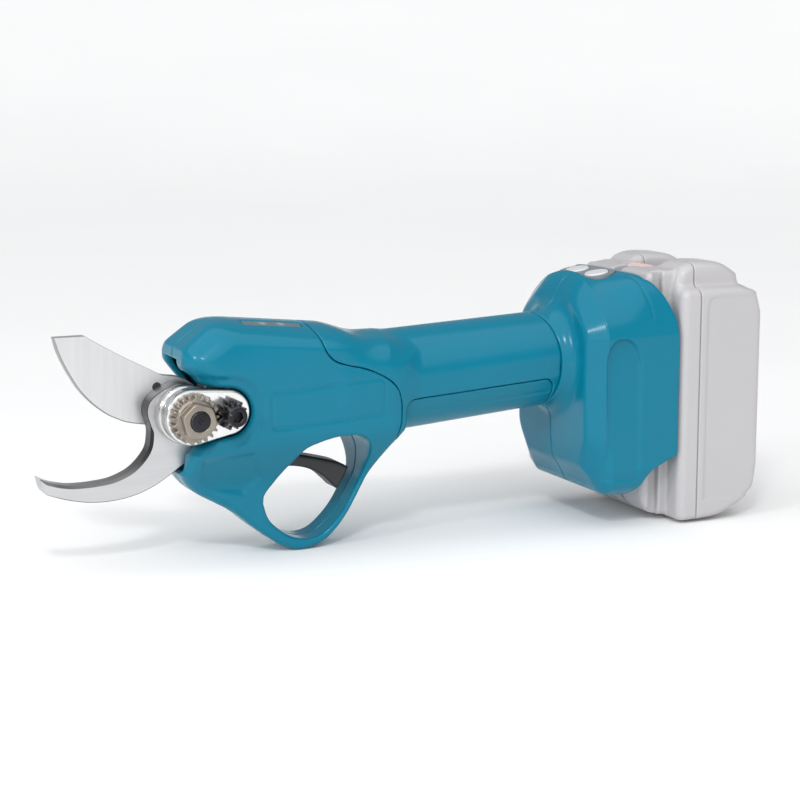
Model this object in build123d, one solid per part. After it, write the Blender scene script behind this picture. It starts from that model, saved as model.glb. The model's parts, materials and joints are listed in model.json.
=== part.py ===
from build123d import *
import math
import os

# Cordless electric pruner. Millimetres. Blades towards -X, battery towards +X, +Z up.
# The tool stands on the lowest points of its finger guard and of its battery (Z = 0).

# ---- driving dimensions ------------------------------------------------------------------
HALF_LENGTH = 159.2          # blade tip to battery back is twice this
BATTERY_HALF_WIDTH = 37.5
SHOULDER_Z = 115.5           # top of the battery's two shoulders
WALL = 2.6                   # moulded wall thickness
PIVOT_X = -98.8              # blade pivot, axis along Y
PIVOT_Z = 61.6
BOLT_R = 4.0                 # M8 pivot bolt
RUNNING = 0.05               # radial clearance of a running fit

ARM_R = 17.5                 # pivot to link pin
ARM_ANGLE = 62.0             # link pin, degrees behind the vertical, blade open
LINK_LENGTH = 28.0
LUG_Z = 81.0                 # height of the ball nut's lug eye
EYE_R = 3.35                 # oversize eye of the link at the ball nut (open pivot)
EYE_OFFSET = (0.78, 0.89)    # nut pin from that eye's centre, blade open
LINK_PIN_R = 2.0

DRIVE_Z = 68.0               # screw, gearbox and motor axis, along X
SCREW_FRONT_X = -67.0
BEARING_X = (-37.0, -29.0)   # the screw's two ring bearings
MODULE = 0.5                 # planetary gears
SUN_TEETH = 12
PLANET_TEETH = 15
RING_TEETH = 42
GEAR_FRONT_X = -20.0
GEAR_WIDTH = 8.0
MOTOR_FRONT_X = -8.0
MOTOR_LENGTH = 42.0
MOTOR_R = 14.5

NUT_TEETH = 21               # toothed pivot nut and its lock pinion
PINION_TEETH = 12
LOCK_MODULE = 0.9
PINION_ANGLE = 3.85          # direction from pivot to pinion, degrees above +X
PLATE_FACE_Y = -20.0         # outer face of the teardrop plate
FIXED_BLADE_T = 8.0
CUTTING_BLADE_Y = (0.1, 4.6)
BUMPER = (-110.4, 73.6)      # rubber stop in the cutting blade, X and Z
BLADE_SCREW_X = (-80.0, -73.5)
BLADE_SCREW_Z = 49.5

TRIGGER_PIVOT = (-62.5, 40.5)  # X and Z
SPRING_X = -52.0
SPRING_Z = (42.6, 51.6)
INDICATOR = (-60.6, -7.7, 98.6)     # middle of the indicator window's top face
INDICATOR_SIZE = (26.0, 4.8, 2.0)
HEAD_TOP_SLOPE = 5.54        # degrees that the head's top falls towards the rear
BUTTON_X = 90.9              # middle of the two push buttons, on a sloping face
BUTTON_Z = 108.6
BUTTON_SLOPE = 10.0
BUTTON_Y = 8.3

HANDLE_START = Vector(0, 0, 67.9)
HANDLE_SLOPE = 3.65          # degrees, rising towards the battery
HANDLE_R = 21.5              # at X = 0
HANDLE_R_REAR = 20.6         # at the rear housing
HANDLE_LENGTH = 69.0
HOUSING_X = 63.0             # ring joint of handle and rear housing, at the mid-plane
HOUSING_SIDE_X = 67.0        # and at its sides
RAIL_FACE_X = 103.4          # front of the space that takes the battery's slide block
HOUSING_REAR_X = 116.6
BATTERY_FRONT_X = 117.2
BATTERY_SEAM_X = 126.5
BUTTON_BAY = ((114.0, 124.0), (-8.6, 8.6), (100.2, 120.0))

CENTRE_DISTANCE = LOCK_MODULE * (NUT_TEETH + PINION_TEETH) / 2
PINION_X = PIVOT_X + CENTRE_DISTANCE * math.cos(math.radians(PINION_ANGLE))
PINION_Z = PIVOT_Z + CENTRE_DISTANCE * math.sin(math.radians(PINION_ANGLE))
LINK_PIN_X = PIVOT_X + ARM_R * math.sin(math.radians(ARM_ANGLE))
LINK_PIN_Z = PIVOT_Z + ARM_R * math.cos(math.radians(ARM_ANGLE))
EYE_X = LINK_PIN_X + math.sqrt(LINK_LENGTH**2 - (LUG_Z - LINK_PIN_Z) ** 2)
NUT_PIN_X = EYE_X + EYE_OFFSET[0]
NUT_PIN_Z = LUG_Z + EYE_OFFSET[1]
PLANET_ORBIT = MODULE * (SUN_TEETH + PLANET_TEETH) / 2

os.makedirs("parts", exist_ok=True)


# ---- helpers -----------------------------------------------------------------------------
def keep(shape, name):
    """Write one sub-part."""
    export_step(shape, f"parts/{name}.step")


def smooth_face(runs, plane=Plane.XZ):
    """Flat face from runs of (u, v) points: two points are a straight edge, more are a spline."""
    edges = []
    for run in runs:
        points = [plane.from_local_coords((u, v, 0)) for u, v in run]
        edges.append(Line(*points) if len(points) == 2 else Spline(*points))
    return make_face(edges)


def corner_face(points, plane=Plane.XZ):
    """Flat face with straight edges."""
    return make_face(Polyline(*[plane.from_local_coords((u, v, 0)) for u, v in points], close=True))


def along_y(face, low, high):
    """Extrude a face of the XZ plane between two Y values."""
    return Pos(0, low, 0) * extrude(face, high - low, dir=(0, 1, 0))


def along_x(face, low, high):
    """Extrude a face of the YZ plane between two X values."""
    return Pos(low, 0, 0) * extrude(face, high - low, dir=(1, 0, 0))


def along_z(face, low, high):
    """Extrude a face of the XY plane between two Z values."""
    return Pos(0, 0, low) * extrude(face, high - low, dir=(0, 0, 1))


def rod_y(x, z, radius, low, high):
    return Pos(x, (low + high) / 2, z) * Rot(90, 0, 0) * Cylinder(radius, high - low)


def rod_x(radius, low, high, y=0.0, z=DRIVE_Z):
    return Pos((low + high) / 2, y, z) * Rot(0, 90, 0) * Cylinder(radius, high - low)


def block(x, y, z):
    """Box from three (low, high) pairs."""
    size = [b - a for a, b in (x, y, z)]
    return Pos(*[(a + b) / 2 for a, b in (x, y, z)]) * Box(*size)


def gear_face(teeth, module, phase=0.0, inner=False):
    """Toothed outline about the origin of the XY plane, one tooth centred on angle `phase`."""
    pitch_r = module * teeth / 2
    tip = pitch_r + module * (1.25 if inner else 0.95)
    root = pitch_r - module * (0.95 if inner else 1.25)
    step = 360 / teeth
    half = step * (0.27 if inner else 0.23)
    narrow = half - math.degrees(math.atan(0.36 * module / pitch_r))
    wide = half + math.degrees(math.atan(0.36 * module / pitch_r))
    points = []
    for k in range(teeth):
        middle = phase + k * step
        for r, a in ((root, -wide), (tip, -narrow), (tip, narrow), (root, wide)):
            angle = math.radians(middle + a)
            points.append((r * math.cos(angle), r * math.sin(angle)))
    return corner_face(points, Plane.XY)


def teardrop(big_r, small_r):
    """Face round the pivot and the lock pinion, in the XZ plane."""
    big = Pos(PIVOT_X, PIVOT_Z) * Circle(big_r)
    small = Pos(PINION_X, PINION_Z) * Circle(small_r)
    return Plane.XZ * make_hull([*big.edges(), *small.edges()])


# ---- blades and pivot --------------------------------------------------------------------
def fixed_blade():
    tip = (-HALF_LENGTH, 40.6)
    root_top = (-112.6, 57.8)
    inner = [tip, (-150.2, 36.8), (-136.4, 35.8), (-123.6, 38.3), (-115.4, 44.5), (-112.0, 52.0), root_top]
    outer = [(-158.3, 36.4), (-145.8, 30.2), (-131.9, 28.4), (-117.6, 30.5), (-105.5, 36.4), (-95.0, 43.0)]
    crown = [root_top, (-112.4, 66.6), (-106.5, 71.9), (-98.8, 73.8), (-90.0, 70.5)]
    tang = [(-90.0, 70.5), (-86.5, 58.0), (-70.0, 56.5), (-70.0, 43.0), (-95.0, 43.0)]
    runs = [inner, crown]
    runs += [[a, b] for a, b in zip(tang, tang[1:])]
    runs += [outer[::-1], [outer[0], tip]]
    blade = along_y(smooth_face(runs), -FIXED_BLADE_T, 0)
    blade -= rod_y(PIVOT_X, PIVOT_Z, BOLT_R, -20, 5)
    for x in BLADE_SCREW_X:
        blade -= rod_y(x, BLADE_SCREW_Z, 2.1, -20, 5)
    return blade


def cutting_blade():
    tip = (-148.5, 94.0)
    back = [(-136.1, 94.0), (-118.3, 83.4), (-105.0, 76.6)]
    edge = [tip, (-144.5, 82.2), (-138.3, 71.7), (-128.3, 62.2), (-118.9, 57.9), (-110.0, 56.2)]
    runs = [[tip, back[0]], back, [back[-1], (PIVOT_X, PIVOT_Z)], [(PIVOT_X, PIVOT_Z), edge[-1]], edge[::-1]]
    profile = smooth_face(runs) + Plane.XZ * Pos(PIVOT_X, PIVOT_Z) * Circle(12.6)
    low, high = CUTTING_BLADE_Y
    blade = along_y(profile, low, high)
    middle = ((PIVOT_X + LINK_PIN_X) / 2, (PIVOT_Z + LINK_PIN_Z) / 2)
    arm = Plane.XZ * Pos(*middle) * Rot(0, 0, 90 - ARM_ANGLE) * SlotCenterToCenter(ARM_R, 9)
    blade += along_y(arm, low, high)
    blade -= rod_y(PIVOT_X, PIVOT_Z, BOLT_R + RUNNING, -5, 10)
    blade -= rod_y(LINK_PIN_X, LINK_PIN_Z, LINK_PIN_R, -5, 10)
    blade -= rod_y(*BUMPER, 1.2, -5, 10)
    return blade


def blade_bumper():
    stem = rod_y(*BUMPER, 1.2, 0.1, 4.6)
    return stem + rod_y(*BUMPER, 1.8, -1.6, 0.1) + rod_y(*BUMPER, 1.8, 4.6, 5.2)


def pivot_boss():
    neck = along_y(teardrop(10.8, 8.8), -17.0, -12.6)
    collar = rod_y(PIVOT_X, PIVOT_Z, 12.0, -12.6, -FIXED_BLADE_T)
    boss = neck + collar
    boss -= rod_y(PIVOT_X, PIVOT_Z, BOLT_R, -30, 0)
    return boss - rod_y(PINION_X, PINION_Z, 2.5, -30, 0)


def gear_plate():
    plate = along_y(teardrop(11.2, 9.2), PLATE_FACE_Y, -17.0)
    plate = chamfer(plate.faces().sort_by(Axis.Y)[0].edges(), 0.5)
    plate -= rod_y(PIVOT_X, PIVOT_Z, BOLT_R, -30, 0)
    return plate - rod_y(PINION_X, PINION_Z, 2.5, -30, 0)


def lock_wheel(x, z, face, outer_y, inner_y):
    """Toothed wheel of the lock, from its outline about the origin of the XY plane."""
    wheel = extrude(face, inner_y - outer_y)
    return Pos(x, inner_y, z) * Rot(90, 0, 0) * wheel


def pivot_nut():
    inner_y = PLATE_FACE_Y - 0.15
    face = gear_face(NUT_TEETH, LOCK_MODULE, PINION_ANGLE)
    nut = lock_wheel(PIVOT_X, PIVOT_Z, face, inner_y - 4.2, inner_y)
    hexagon = RegularPolygon(6.5, 6, major_radius=False, rotation=14)
    body = lock_wheel(PIVOT_X, PIVOT_Z, hexagon, -29.0, inner_y - 4.2)
    body &= Pos(PIVOT_X, -29.0, PIVOT_Z) * Rot(-90, 0, 0) * Pos(0, 0, 4.0) * Cone(7.0, 13.0, 8.0)
    nut += body
    return nut - rod_y(PIVOT_X, PIVOT_Z, BOLT_R + RUNNING, -40, 0)


def lock_pinion():
    inner_y = PLATE_FACE_Y - 0.15
    half_step = 180 / PINION_TEETH
    face = gear_face(PINION_TEETH, LOCK_MODULE, PINION_ANGLE + 180 + half_step)
    pinion = lock_wheel(PINION_X, PINION_Z, face, inner_y - 5.2, inner_y)
    return pinion - rod_y(PINION_X, PINION_Z, 2.5 + RUNNING, -40, 0)


def lock_bolt():
    head_low, head_high = -31.0, PLATE_FACE_Y - 5.45
    head = rod_y(PINION_X, PINION_Z, 4.1, head_low, head_high)
    head = chamfer(head.faces().sort_by(Axis.Y)[0].edges(), 0.4)
    socket = lock_wheel(PINION_X, PINION_Z, RegularPolygon(2.0, 6, major_radius=False), -32.0, -28.0)
    return head - socket + rod_y(PINION_X, PINION_Z, 2.5, head_high, -12.8)


def pivot_bolt():
    shank = rod_y(PIVOT_X, PIVOT_Z, BOLT_R, -29.3, 6.4)
    shank = chamfer(shank.faces().sort_by(Axis.Y)[0].edges(), 0.5)
    head = rod_y(PIVOT_X, PIVOT_Z, 7.5, 6.4, 10.6)
    head = chamfer(head.faces().sort_by(Axis.Y)[-1].edges(), 0.9)
    socket = Pos(PIVOT_X, 8.0, PIVOT_Z) * Rot(-90, 0, 0) * extrude(RegularPolygon(2.5, 6, major_radius=False), 4)
    return shank + head - socket


def pivot_washer():
    return rod_y(PIVOT_X, PIVOT_Z, 9.0, 4.7, 6.4) - rod_y(PIVOT_X, PIVOT_Z, BOLT_R, 0, 12)


def blade_screws():
    solids = []
    for x in BLADE_SCREW_X:
        screw = rod_y(x, BLADE_SCREW_Z, 2.1, -7.9, 4.5) + rod_y(x, BLADE_SCREW_Z, 3.8, 4.5, 7.5)
        solids += screw.solids()
    return Compound(solids)


# ---- drive -------------------------------------------------------------------------------
def link_plates():
    """Two flat links, one on each side of the blade arm."""
    dx, dz = EYE_X - LINK_PIN_X, LUG_Z - LINK_PIN_Z
    slope = math.degrees(math.atan2(dz, dx))
    middle = Pos((LINK_PIN_X + EYE_X) / 2, (LINK_PIN_Z + LUG_Z) / 2)
    bar = Plane.XZ * middle * Rot(0, 0, slope) * SlotCenterToCenter(LINK_LENGTH, 8)
    eye = Plane.XZ * Pos(EYE_X, LUG_Z) * Circle(4.7)
    near, far = (-3.4, -0.3), (5.0, 8.1)
    links = along_y(bar + eye, *near) + along_y(bar + eye, *far)
    links -= rod_y(LINK_PIN_X, LINK_PIN_Z, LINK_PIN_R + RUNNING, -10, 15)
    return links - rod_y(EYE_X, LUG_Z, EYE_R, -10, 15)


def link_pin():
    return rod_y(LINK_PIN_X, LINK_PIN_Z, LINK_PIN_R, -3.8, 8.5)


def ball_nut():
    body = rod_x(6.8, NUT_PIN_X - 4, NUT_PIN_X + 16)
    body += rod_x(9.0, NUT_PIN_X + 13, NUT_PIN_X + 16)
    low, high = CUTTING_BLADE_Y
    lug = corner_face([(NUT_PIN_X - 4, DRIVE_Z), (NUT_PIN_X - 4, NUT_PIN_Z), (NUT_PIN_X + 4, NUT_PIN_Z),
                       (NUT_PIN_X + 8, DRIVE_Z)])
    body += along_y(lug, low, high) + rod_y(NUT_PIN_X, NUT_PIN_Z, 4.0, low, high)
    body -= rod_x(4.0 + 0.1, NUT_PIN_X - 20, NUT_PIN_X + 20)
    return body - rod_y(NUT_PIN_X, NUT_PIN_Z, LINK_PIN_R, -10, 15)


def nut_pin():
    return rod_y(NUT_PIN_X, NUT_PIN_Z, LINK_PIN_R, -3.8, 8.5)


def ball_screw():
    """Threaded rod with its ball groove drawn as rings, and a plain journal behind it."""
    groove_pitch = 4.0
    screw = rod_x(4.0, SCREW_FRONT_X, BEARING_X[0] - 1.0)
    count = int((BEARING_X[0] - 3.0 - SCREW_FRONT_X) / groove_pitch)
    for k in range(count):
        x = SCREW_FRONT_X + 2.5 + k * groove_pitch
        screw -= rod_x(5.0, x - 0.7, x + 0.7) - rod_x(3.4, x - 0.7, x + 0.7)
    screw += rod_x(5.0, BEARING_X[0] - 1.0, BEARING_X[0])
    return screw + rod_x(3.0, BEARING_X[0], GEAR_FRONT_X - 3.0)


def screw_bearings():
    """Two ring bearings on the screw's journal."""
    middle = sum(BEARING_X) / 2
    solids = []
    for low, high in ((BEARING_X[0], middle), (middle, BEARING_X[1])):
        ring = rod_x(8.0, low, high) - rod_x(3.0 + RUNNING, low - 1, high + 1)
        solids += ring.solids()
    return Compound(solids)


def bearing_holder():
    holder = rod_x(13.5, BEARING_X[0] - 0.6, GEAR_FRONT_X - 4.6)
    holder -= rod_x(8.0, *BEARING_X)
    holder -= rod_x(6.0, BEARING_X[0] - 2, GEAR_FRONT_X)
    return holder


def planet_carrier():
    """Round plate with three pins, on the screw's rear end."""
    low, high = GEAR_FRONT_X - 3.6, GEAR_FRONT_X - 0.6
    carrier = rod_x(9.4, low, high)
    for k in range(3):
        y, z = planet_place(k)
        carrier += rod_x(1.5, high, GEAR_FRONT_X + GEAR_WIDTH, y, z)
    return carrier - rod_x(3.0, low - 1, high)


def planet_place(k):
    """Y and Z of planet k's axis."""
    angle = math.radians(90 + 120 * k)
    return PLANET_ORBIT * math.cos(angle), DRIVE_Z + PLANET_ORBIT * math.sin(angle)


def wheel_x(face, low, high, y=0.0, z=DRIVE_Z):
    """Put a face drawn about the XY origin on an X axis, its own X to +Y and Y to +Z."""
    upright = Plane(origin=(low, y, z), x_dir=(0, 1, 0), z_dir=(1, 0, 0))
    return extrude(upright * face, high - low, dir=(1, 0, 0))


def planet_gear(k):
    y, z = planet_place(k)
    face = gear_face(PLANET_TEETH, MODULE, 90 + 120 * k)
    gear = wheel_x(face, GEAR_FRONT_X, GEAR_FRONT_X + GEAR_WIDTH - 0.5, y, z)
    return gear - rod_x(1.5 + RUNNING, GEAR_FRONT_X - 5, GEAR_FRONT_X + 20, y, z)


def sun_gear():
    face = gear_face(SUN_TEETH, MODULE, 90)
    gear = wheel_x(face, GEAR_FRONT_X, GEAR_FRONT_X + GEAR_WIDTH)
    return gear - rod_x(1.5, GEAR_FRONT_X - 5, GEAR_FRONT_X + 20)


def ring_gear():
    """Fixed ring; its inner outline has a gap where each planet's outermost tooth sits."""
    gap_face = gear_face(RING_TEETH, MODULE, 90, inner=True)
    low, high = GEAR_FRONT_X - 0.3, GEAR_FRONT_X + GEAR_WIDTH + 0.6
    ring = rod_x(13.5, GEAR_FRONT_X - 4.4, MOTOR_FRONT_X - 1.0)
    ring -= wheel_x(gap_face, low, high)
    ring -= rod_x(9.9, GEAR_FRONT_X - 5, low)
    ring -= rod_x(4.0, high - 1, MOTOR_FRONT_X)
    return ring


def motor_shaft():
    return rod_x(1.5, GEAR_FRONT_X, GEAR_FRONT_X + GEAR_WIDTH) + rod_x(
        2.5, GEAR_FRONT_X + GEAR_WIDTH, MOTOR_FRONT_X + MOTOR_LENGTH - 0.4)


def motor_rotor():
    rotor = rod_x(7.6, MOTOR_FRONT_X + 9, MOTOR_FRONT_X + 33)
    return rotor - rod_x(2.5, -30, 60)


def motor_stator():
    """Laminated ring with six salient poles and their windings."""
    low, high = MOTOR_FRONT_X + 7, MOTOR_FRONT_X + 35
    stator = rod_x(13.1, low, high) - rod_x(11.4, low - 1, high + 1)
    for k in range(6):
        pole = block((low, high), (8.2, 12.0), (-2.6, 2.6))
        stator += Pos(0, 0, DRIVE_Z) * Rot(60 * k, 0, 0) * pole
    return stator - rod_x(8.1, low - 1, high + 1)


def motor_case():
    low, high = MOTOR_FRONT_X, MOTOR_FRONT_X + MOTOR_LENGTH
    case = rod_x(MOTOR_R, low, high) - rod_x(13.1, low + 2.5, high - 2.5)
    case -= rod_x(5.6, low - 1, high + 1)
    for k in range(6):
        slot = block((high - 12, high - 5), (10, 20), (-2, 2))
        case -= Pos(0, 0, DRIVE_Z) * Rot(60 * k, 0, 0) * slot
    return case


def motor_bearings():
    solids = []
    for low in (MOTOR_FRONT_X, MOTOR_FRONT_X + MOTOR_LENGTH - 4.0):
        ring = rod_x(5.6, low, low + 4.0) - rod_x(2.5 + RUNNING, low - 1, low + 5)
        solids += ring.solids()
    return Compound(solids)


# ---- head, guard and handle --------------------------------------------------------------
def head_outline():
    """Side view of the head with the finger guard."""
    top = [(-100.4, 85.6), (-97.1, 90.0), (-88.0, 96.9), (-79.2, 100.4)]
    fall = [(-36.9, 96.3), (-31.5, 93.1), (-24.8, 88.8), (-14.0, 88.2)]
    rear = [(-14.0, 88.2), (-5.0, 84.0), (-5.0, 52.0), (-9.4, 44.2)]
    guard_back = [(-9.4, 44.2), (-16.0, 34.0), (-24.3, 19.4), (-32.5, 7.9), (-43.9, 0.9), (-50.3, 0.0)]
    guard_front = [(-50.3, 0.0), (-57.5, 2.9), (-70.0, 12.1), (-85.3, 23.0), (-101.4, 37.1)]
    front = [(-101.4, 37.1), (-98.6, 46.2), (-98.6, 78.0), (-100.4, 80.7), (-100.4, 85.6)]
    runs = [top, [top[-1], fall[0]], fall]
    runs += [[a, b] for a, b in zip(rear, rear[1:])]
    runs += [guard_back, guard_front]
    runs += [[a, b] for a, b in zip(front, front[1:])]
    return smooth_face(runs)


def head_section(inset=0.0):
    """Front view of the head: full width in the middle, rounded on top, narrow at the guard."""
    w, g = 22.0 - inset, 8.8 - inset
    top = 101.0 - inset
    right = [(g, -1.0), (g, 30.0), (12.0, 38.0 + inset), (w - 3, 46.0 + inset), (w, 52.0), (w, 84.0),
             (w - 2.5, 92.0 - inset / 2), (w - 8, 98.5 - inset), (w - 14, top)]
    left = [(-y, z) for y, z in right[::-1]]
    return corner_face(right + left, Plane.YZ)


def guard_opening():
    """The finger opening's rim."""
    rim = [(-65.0, 21.1), (-60.1, 12.0), (-44.8, 4.6), (-34.4, 9.8), (-21.2, 30.1), (-24.3, 47.1)]
    roof = [(-24.3, 47.1), (-36.7, 47.6), (-48.6, 41.8), (-58.8, 30.7), (-65.0, 21.1)]
    return smooth_face([rim, roof])


def handle_cone(inset=0.0):
    """Round handle as a slightly tapered cone along its own axis."""
    lead = 26.0
    slope = (HANDLE_R_REAR - HANDLE_R) / HANDLE_LENGTH
    low_r = HANDLE_R - lead * slope - inset
    high_r = HANDLE_R_REAR - inset
    cone = Pos(0, 0, (HANDLE_LENGTH - lead) / 2) * Cone(low_r, high_r, HANDLE_LENGTH + lead)
    return Pos(HANDLE_START) * Rot(0, 90 - HANDLE_SLOPE, 0) * cone


def seam_region():
    """Everything in front of the curved seam between the head and the handle."""
    seam = [(-50.0, 110.0), (-44.4, 92.9), (-40.2, 82.1), (-31.4, 77.9), (-20.8, 74.9), (-10.4, 66.7),
            (-8.6, 57.5), (-10.5, 46.0)]
    end = [(-10.5, 46.0), (-4.0, 40.0), (-4.0, -10.0), (-130.0, -10.0), (-130.0, 110.0), (-50.0, 110.0)]
    runs = [seam] + [[a, b] for a, b in zip(end, end[1:])]
    return along_y(smooth_face(runs), -60, 60)


def trigger_pocket():
    pocket = corner_face([(-69, 33.8), (-50.5, 33.8), (-41.5, 46.8), (-41.5, 53), (-69, 53)])
    return along_y(pocket, -6.8, 6.8)


def head_inside():
    """Hollow of the head for the blade arm, link, ball nut and gearbox."""
    room = corner_face([(-97.6, 80.5), (-97.6, 85.0), (-86.5, 94.4), (-78.5, 97.6), (-38.5, 93.6), (-27, 85),
                        (-22, 84), (-22, 53), (-30, 51.5), (-68, 51.5), (-68, 40.0), (-97, 40.0)])
    return along_y(room, -19.4, 19.4) & along_x(head_section(WALL), -98, 0)


def blade_slot():
    """Gap through the front of the head for the blades, and the pocket of the steel boss."""
    slot = corner_face([(-120, 30), (-96, 38), (-84, 38), (-84, 84.5), (-120, 84.5)])
    pocket = along_y(teardrop(13.6, 11.2), -30, -8.1)
    front = corner_face([(-125, 50.5), (PIVOT_X, 47.6), (PIVOT_X, 75.4), (-125, 78.0)])
    bolt_room = rod_y(PIVOT_X, PIVOT_Z, 9.6, 4, 40)
    return along_y(slot, -8.1, 8.9) + pocket + along_y(front, -30, -8.1) + bolt_room


def front_body():
    """Head and handle as one hollow form, before it is split into shells."""
    head = along_y(head_outline(), -30, 30) & along_x(head_section(), -130, 10)
    body = head + handle_cone()
    body -= along_y(guard_opening(), -30, 30)
    body -= head_inside()
    body -= handle_cone(WALL)
    body -= trigger_pocket()
    body -= blade_slot()
    body -= rod_y(*TRIGGER_PIVOT, 1.5, -9.0, 9.0)
    return body


def shell_halves(body, name_left, name_right):
    """Split a form at the mid-plane and write both halves."""
    keep(body - block((-200, 200), (0, 60), (-10, 130)), name_left)
    keep(body - block((-200, 200), (-60, 0), (-10, 130)), name_right)


def grip_region():
    """Space of the lower grip panel, in the side view."""
    panel = corner_face([(-6.4, 40.0), (-6.4, 59.8), (-4.6, 61.7), (60.0, 65.8), (61.6, 64.2), (61.6, 40.0)])
    return along_y(panel, -40, 40)


def grip_panel():
    return (handle_cone() - handle_cone(1.4)) & grip_region()


# ---- trigger -----------------------------------------------------------------------------
def trigger():
    upper = [(-66.0, 44.0), (-57.0, 43.0), (-43.7, 38.9), (-35.9, 36.9), (-26.8, 32.6)]
    rear = [(-26.8, 32.6), (-30.3, 25.2), (-31.4, 23.6)]
    lower = [(-31.4, 23.6), (-35.0, 27.6), (-43.7, 33.3), (-55.0, 35.4), (-65.0, 36.0)]
    runs = [upper, rear[:2], rear[1:], lower, [lower[-1], upper[0]]]
    lever = along_y(smooth_face(runs), -6.2, 6.2)
    lever += rod_y(*TRIGGER_PIVOT, 4.2, -6.2, 6.2)
    return lever - rod_y(*TRIGGER_PIVOT, 1.5 + RUNNING, -20, 20)


def trigger_pin():
    return rod_y(*TRIGGER_PIVOT, 1.5, -9.0, 9.0)


def trigger_spring():
    """Compression spring between the trigger and the head."""
    low, high = SPRING_Z
    coil = Helix(pitch=2.2, height=high - low, radius=2.4)
    wire = sweep(Plane(origin=coil @ 0, z_dir=coil % 0) * Circle(0.35), path=coil)
    return Pos(SPRING_X, 0, low) * wire


def trigger_sensor():
    """Angle sensor board with its chip, above the trigger."""
    board = block((-57.0, -41.0), (-7.5, 7.5), (54.2, 55.8))
    return board + block((-50.0, -45.0), (-2.5, 2.5), (52.8, 54.2))


# ---- indicator and buttons ---------------------------------------------------------------
def on_head_top(length, width, low, high):
    """Box about the indicator's place, level with the head's sloping top."""
    box = Pos(0, 0, (low + high) / 2) * Box(length, width, high - low)
    return Pos(INDICATOR) * Rot(0, HEAD_TOP_SLOPE, 0) * box


def indicator_window():
    length, width, depth = INDICATOR_SIZE
    return on_head_top(length, width, -depth, 0.0)


def indicator_recess():
    """Room of the window and everything above it."""
    length, width, depth = INDICATOR_SIZE
    return on_head_top(length, width, -depth, 3.0)


def indicator_board():
    board = block((-74, -45), (-11, 8), (92.0, 93.2))
    for x in (-64.6, -56.6):
        board += block((x - 1.2, x + 1.2), (INDICATOR[1] - 1.2, INDICATOR[1] + 1.2), (93.2, 94.4))
    return board


def on_button_face(shape):
    """Put a shape drawn about the origin, +Z outwards, on the sloping button face."""
    return Pos(BUTTON_X, 0, BUTTON_Z) * Rot(0, -BUTTON_SLOPE, 0) * shape


def button_panel():
    oval = Rot(0, 0, 90) * SlotOverall(34, 15)
    panel = extrude(oval, -2.6)
    for side in (-1, 1):
        panel -= Pos(0, side * BUTTON_Y, 0) * Cylinder(5.6, 20)
    return on_button_face(Pos(0, 0, 0.4) * panel)


def push_button(side):
    cap = Pos(0, side * BUTTON_Y, -0.3) * Cylinder(5.3, 2.6)
    cap = chamfer(cap.faces().sort_by(Axis.Z)[-1].edges(), 0.5)
    return on_button_face(cap)


def button_board():
    return on_button_face(Pos(1.0, 0, -6.4) * Box(13, 26, 1.2))


# ---- rear housing ------------------------------------------------------------------------
def housing_block():
    """Outer form of the rear housing, common to its side, front and top views."""
    side = smooth_face([
        [(56, 92.2), (62.5, 92.2)],
        [(62.5, 92.2), (69.5, 95.6), (74.6, 101.0), (78.6, 106.0), (82.6, 109.4)],
        [(82.6, 109.4), (90.0, 110.6), (97.0, 110.7), (102.6, 109.6)],
        [(102.6, 109.6), (107.9, 104.2), (112.4, 97.0), (115.4, 91.0)],
        [(115.4, 91.0), (HOUSING_REAR_X, 83.0)],
        [(HOUSING_REAR_X, 83.0), (HOUSING_REAR_X, 31.2)],
        [(HOUSING_REAR_X, 31.2), (106.6, 26.8)],
        [(106.6, 26.8), (100.7, 21.0), (97.0, 14.0)],
        [(97.0, 14.0), (86.0, 13.6)],
        [(86.0, 13.6), (77.5, 18.8), (74.6, 30.0), (73.6, 39.0), (69.5, 47.6), (62.5, 51.0)],
        [(62.5, 51.0), (56, 51.0)],
        [(56, 51.0), (56, 92.2)],
    ])
    front = smooth_face([
        [(-37.2, 26.0), (-37.2, 80.0)],
        [(-37.2, 80.0), (-36.4, 91.0), (-33.4, 100.0), (-27.0, 106.8), (-16.0, 110.4), (0.0, 110.8)],
        [(0.0, 110.8), (16.0, 110.4), (27.0, 106.8), (33.4, 100.0), (36.4, 91.0), (37.2, 80.0)],
        [(37.2, 80.0), (37.2, 26.0)],
        [(37.2, 26.0), (34.0, 17.0), (26.0, 13.0)],
        [(26.0, 13.0), (-26.0, 13.0)],
        [(-26.0, 13.0), (-34.0, 17.0), (-37.2, 26.0)],
    ], Plane.YZ)
    top = smooth_face([
        [(118, 37.2), (90, 37.2)],
        [(90, 37.2), (81.0, 35.8), (75.0, 30.4), (70.6, 23.6), (66.0, 21.2)],
        [(66.0, 21.2), (60.0, 21.2)],
        [(60.0, 21.2), (56.0, 21.2)],
        [(56.0, 21.2), (56.0, -21.2)],
        [(56.0, -21.2), (60.0, -21.2)],
        [(60.0, -21.2), (66.0, -21.2)],
        [(66.0, -21.2), (70.6, -23.6), (75.0, -30.4), (81.0, -35.8), (90, -37.2)],
        [(90, -37.2), (118, -37.2)],
        [(118, -37.2), (118, 37.2)],
    ], Plane.XY)
    return along_y(side, -50, 50) & along_x(front, 50, 130) & along_z(top, 0, 130)


def handle_region():
    """Everything in front of the ring joint, which sweeps back at the sides."""
    joint = [(HOUSING_SIDE_X, -HANDLE_R), (HOUSING_X, 0.0), (HOUSING_SIDE_X, HANDLE_R)]
    rest = [joint[-1], (HOUSING_SIDE_X, 60.0), (-60.0, 60.0), (-60.0, -60.0), (HOUSING_SIDE_X, -60.0), joint[0]]
    runs = [joint] + [[a, b] for a, b in zip(rest, rest[1:])]
    return along_z(smooth_face(runs, Plane.XY), 0, 130)


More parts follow.
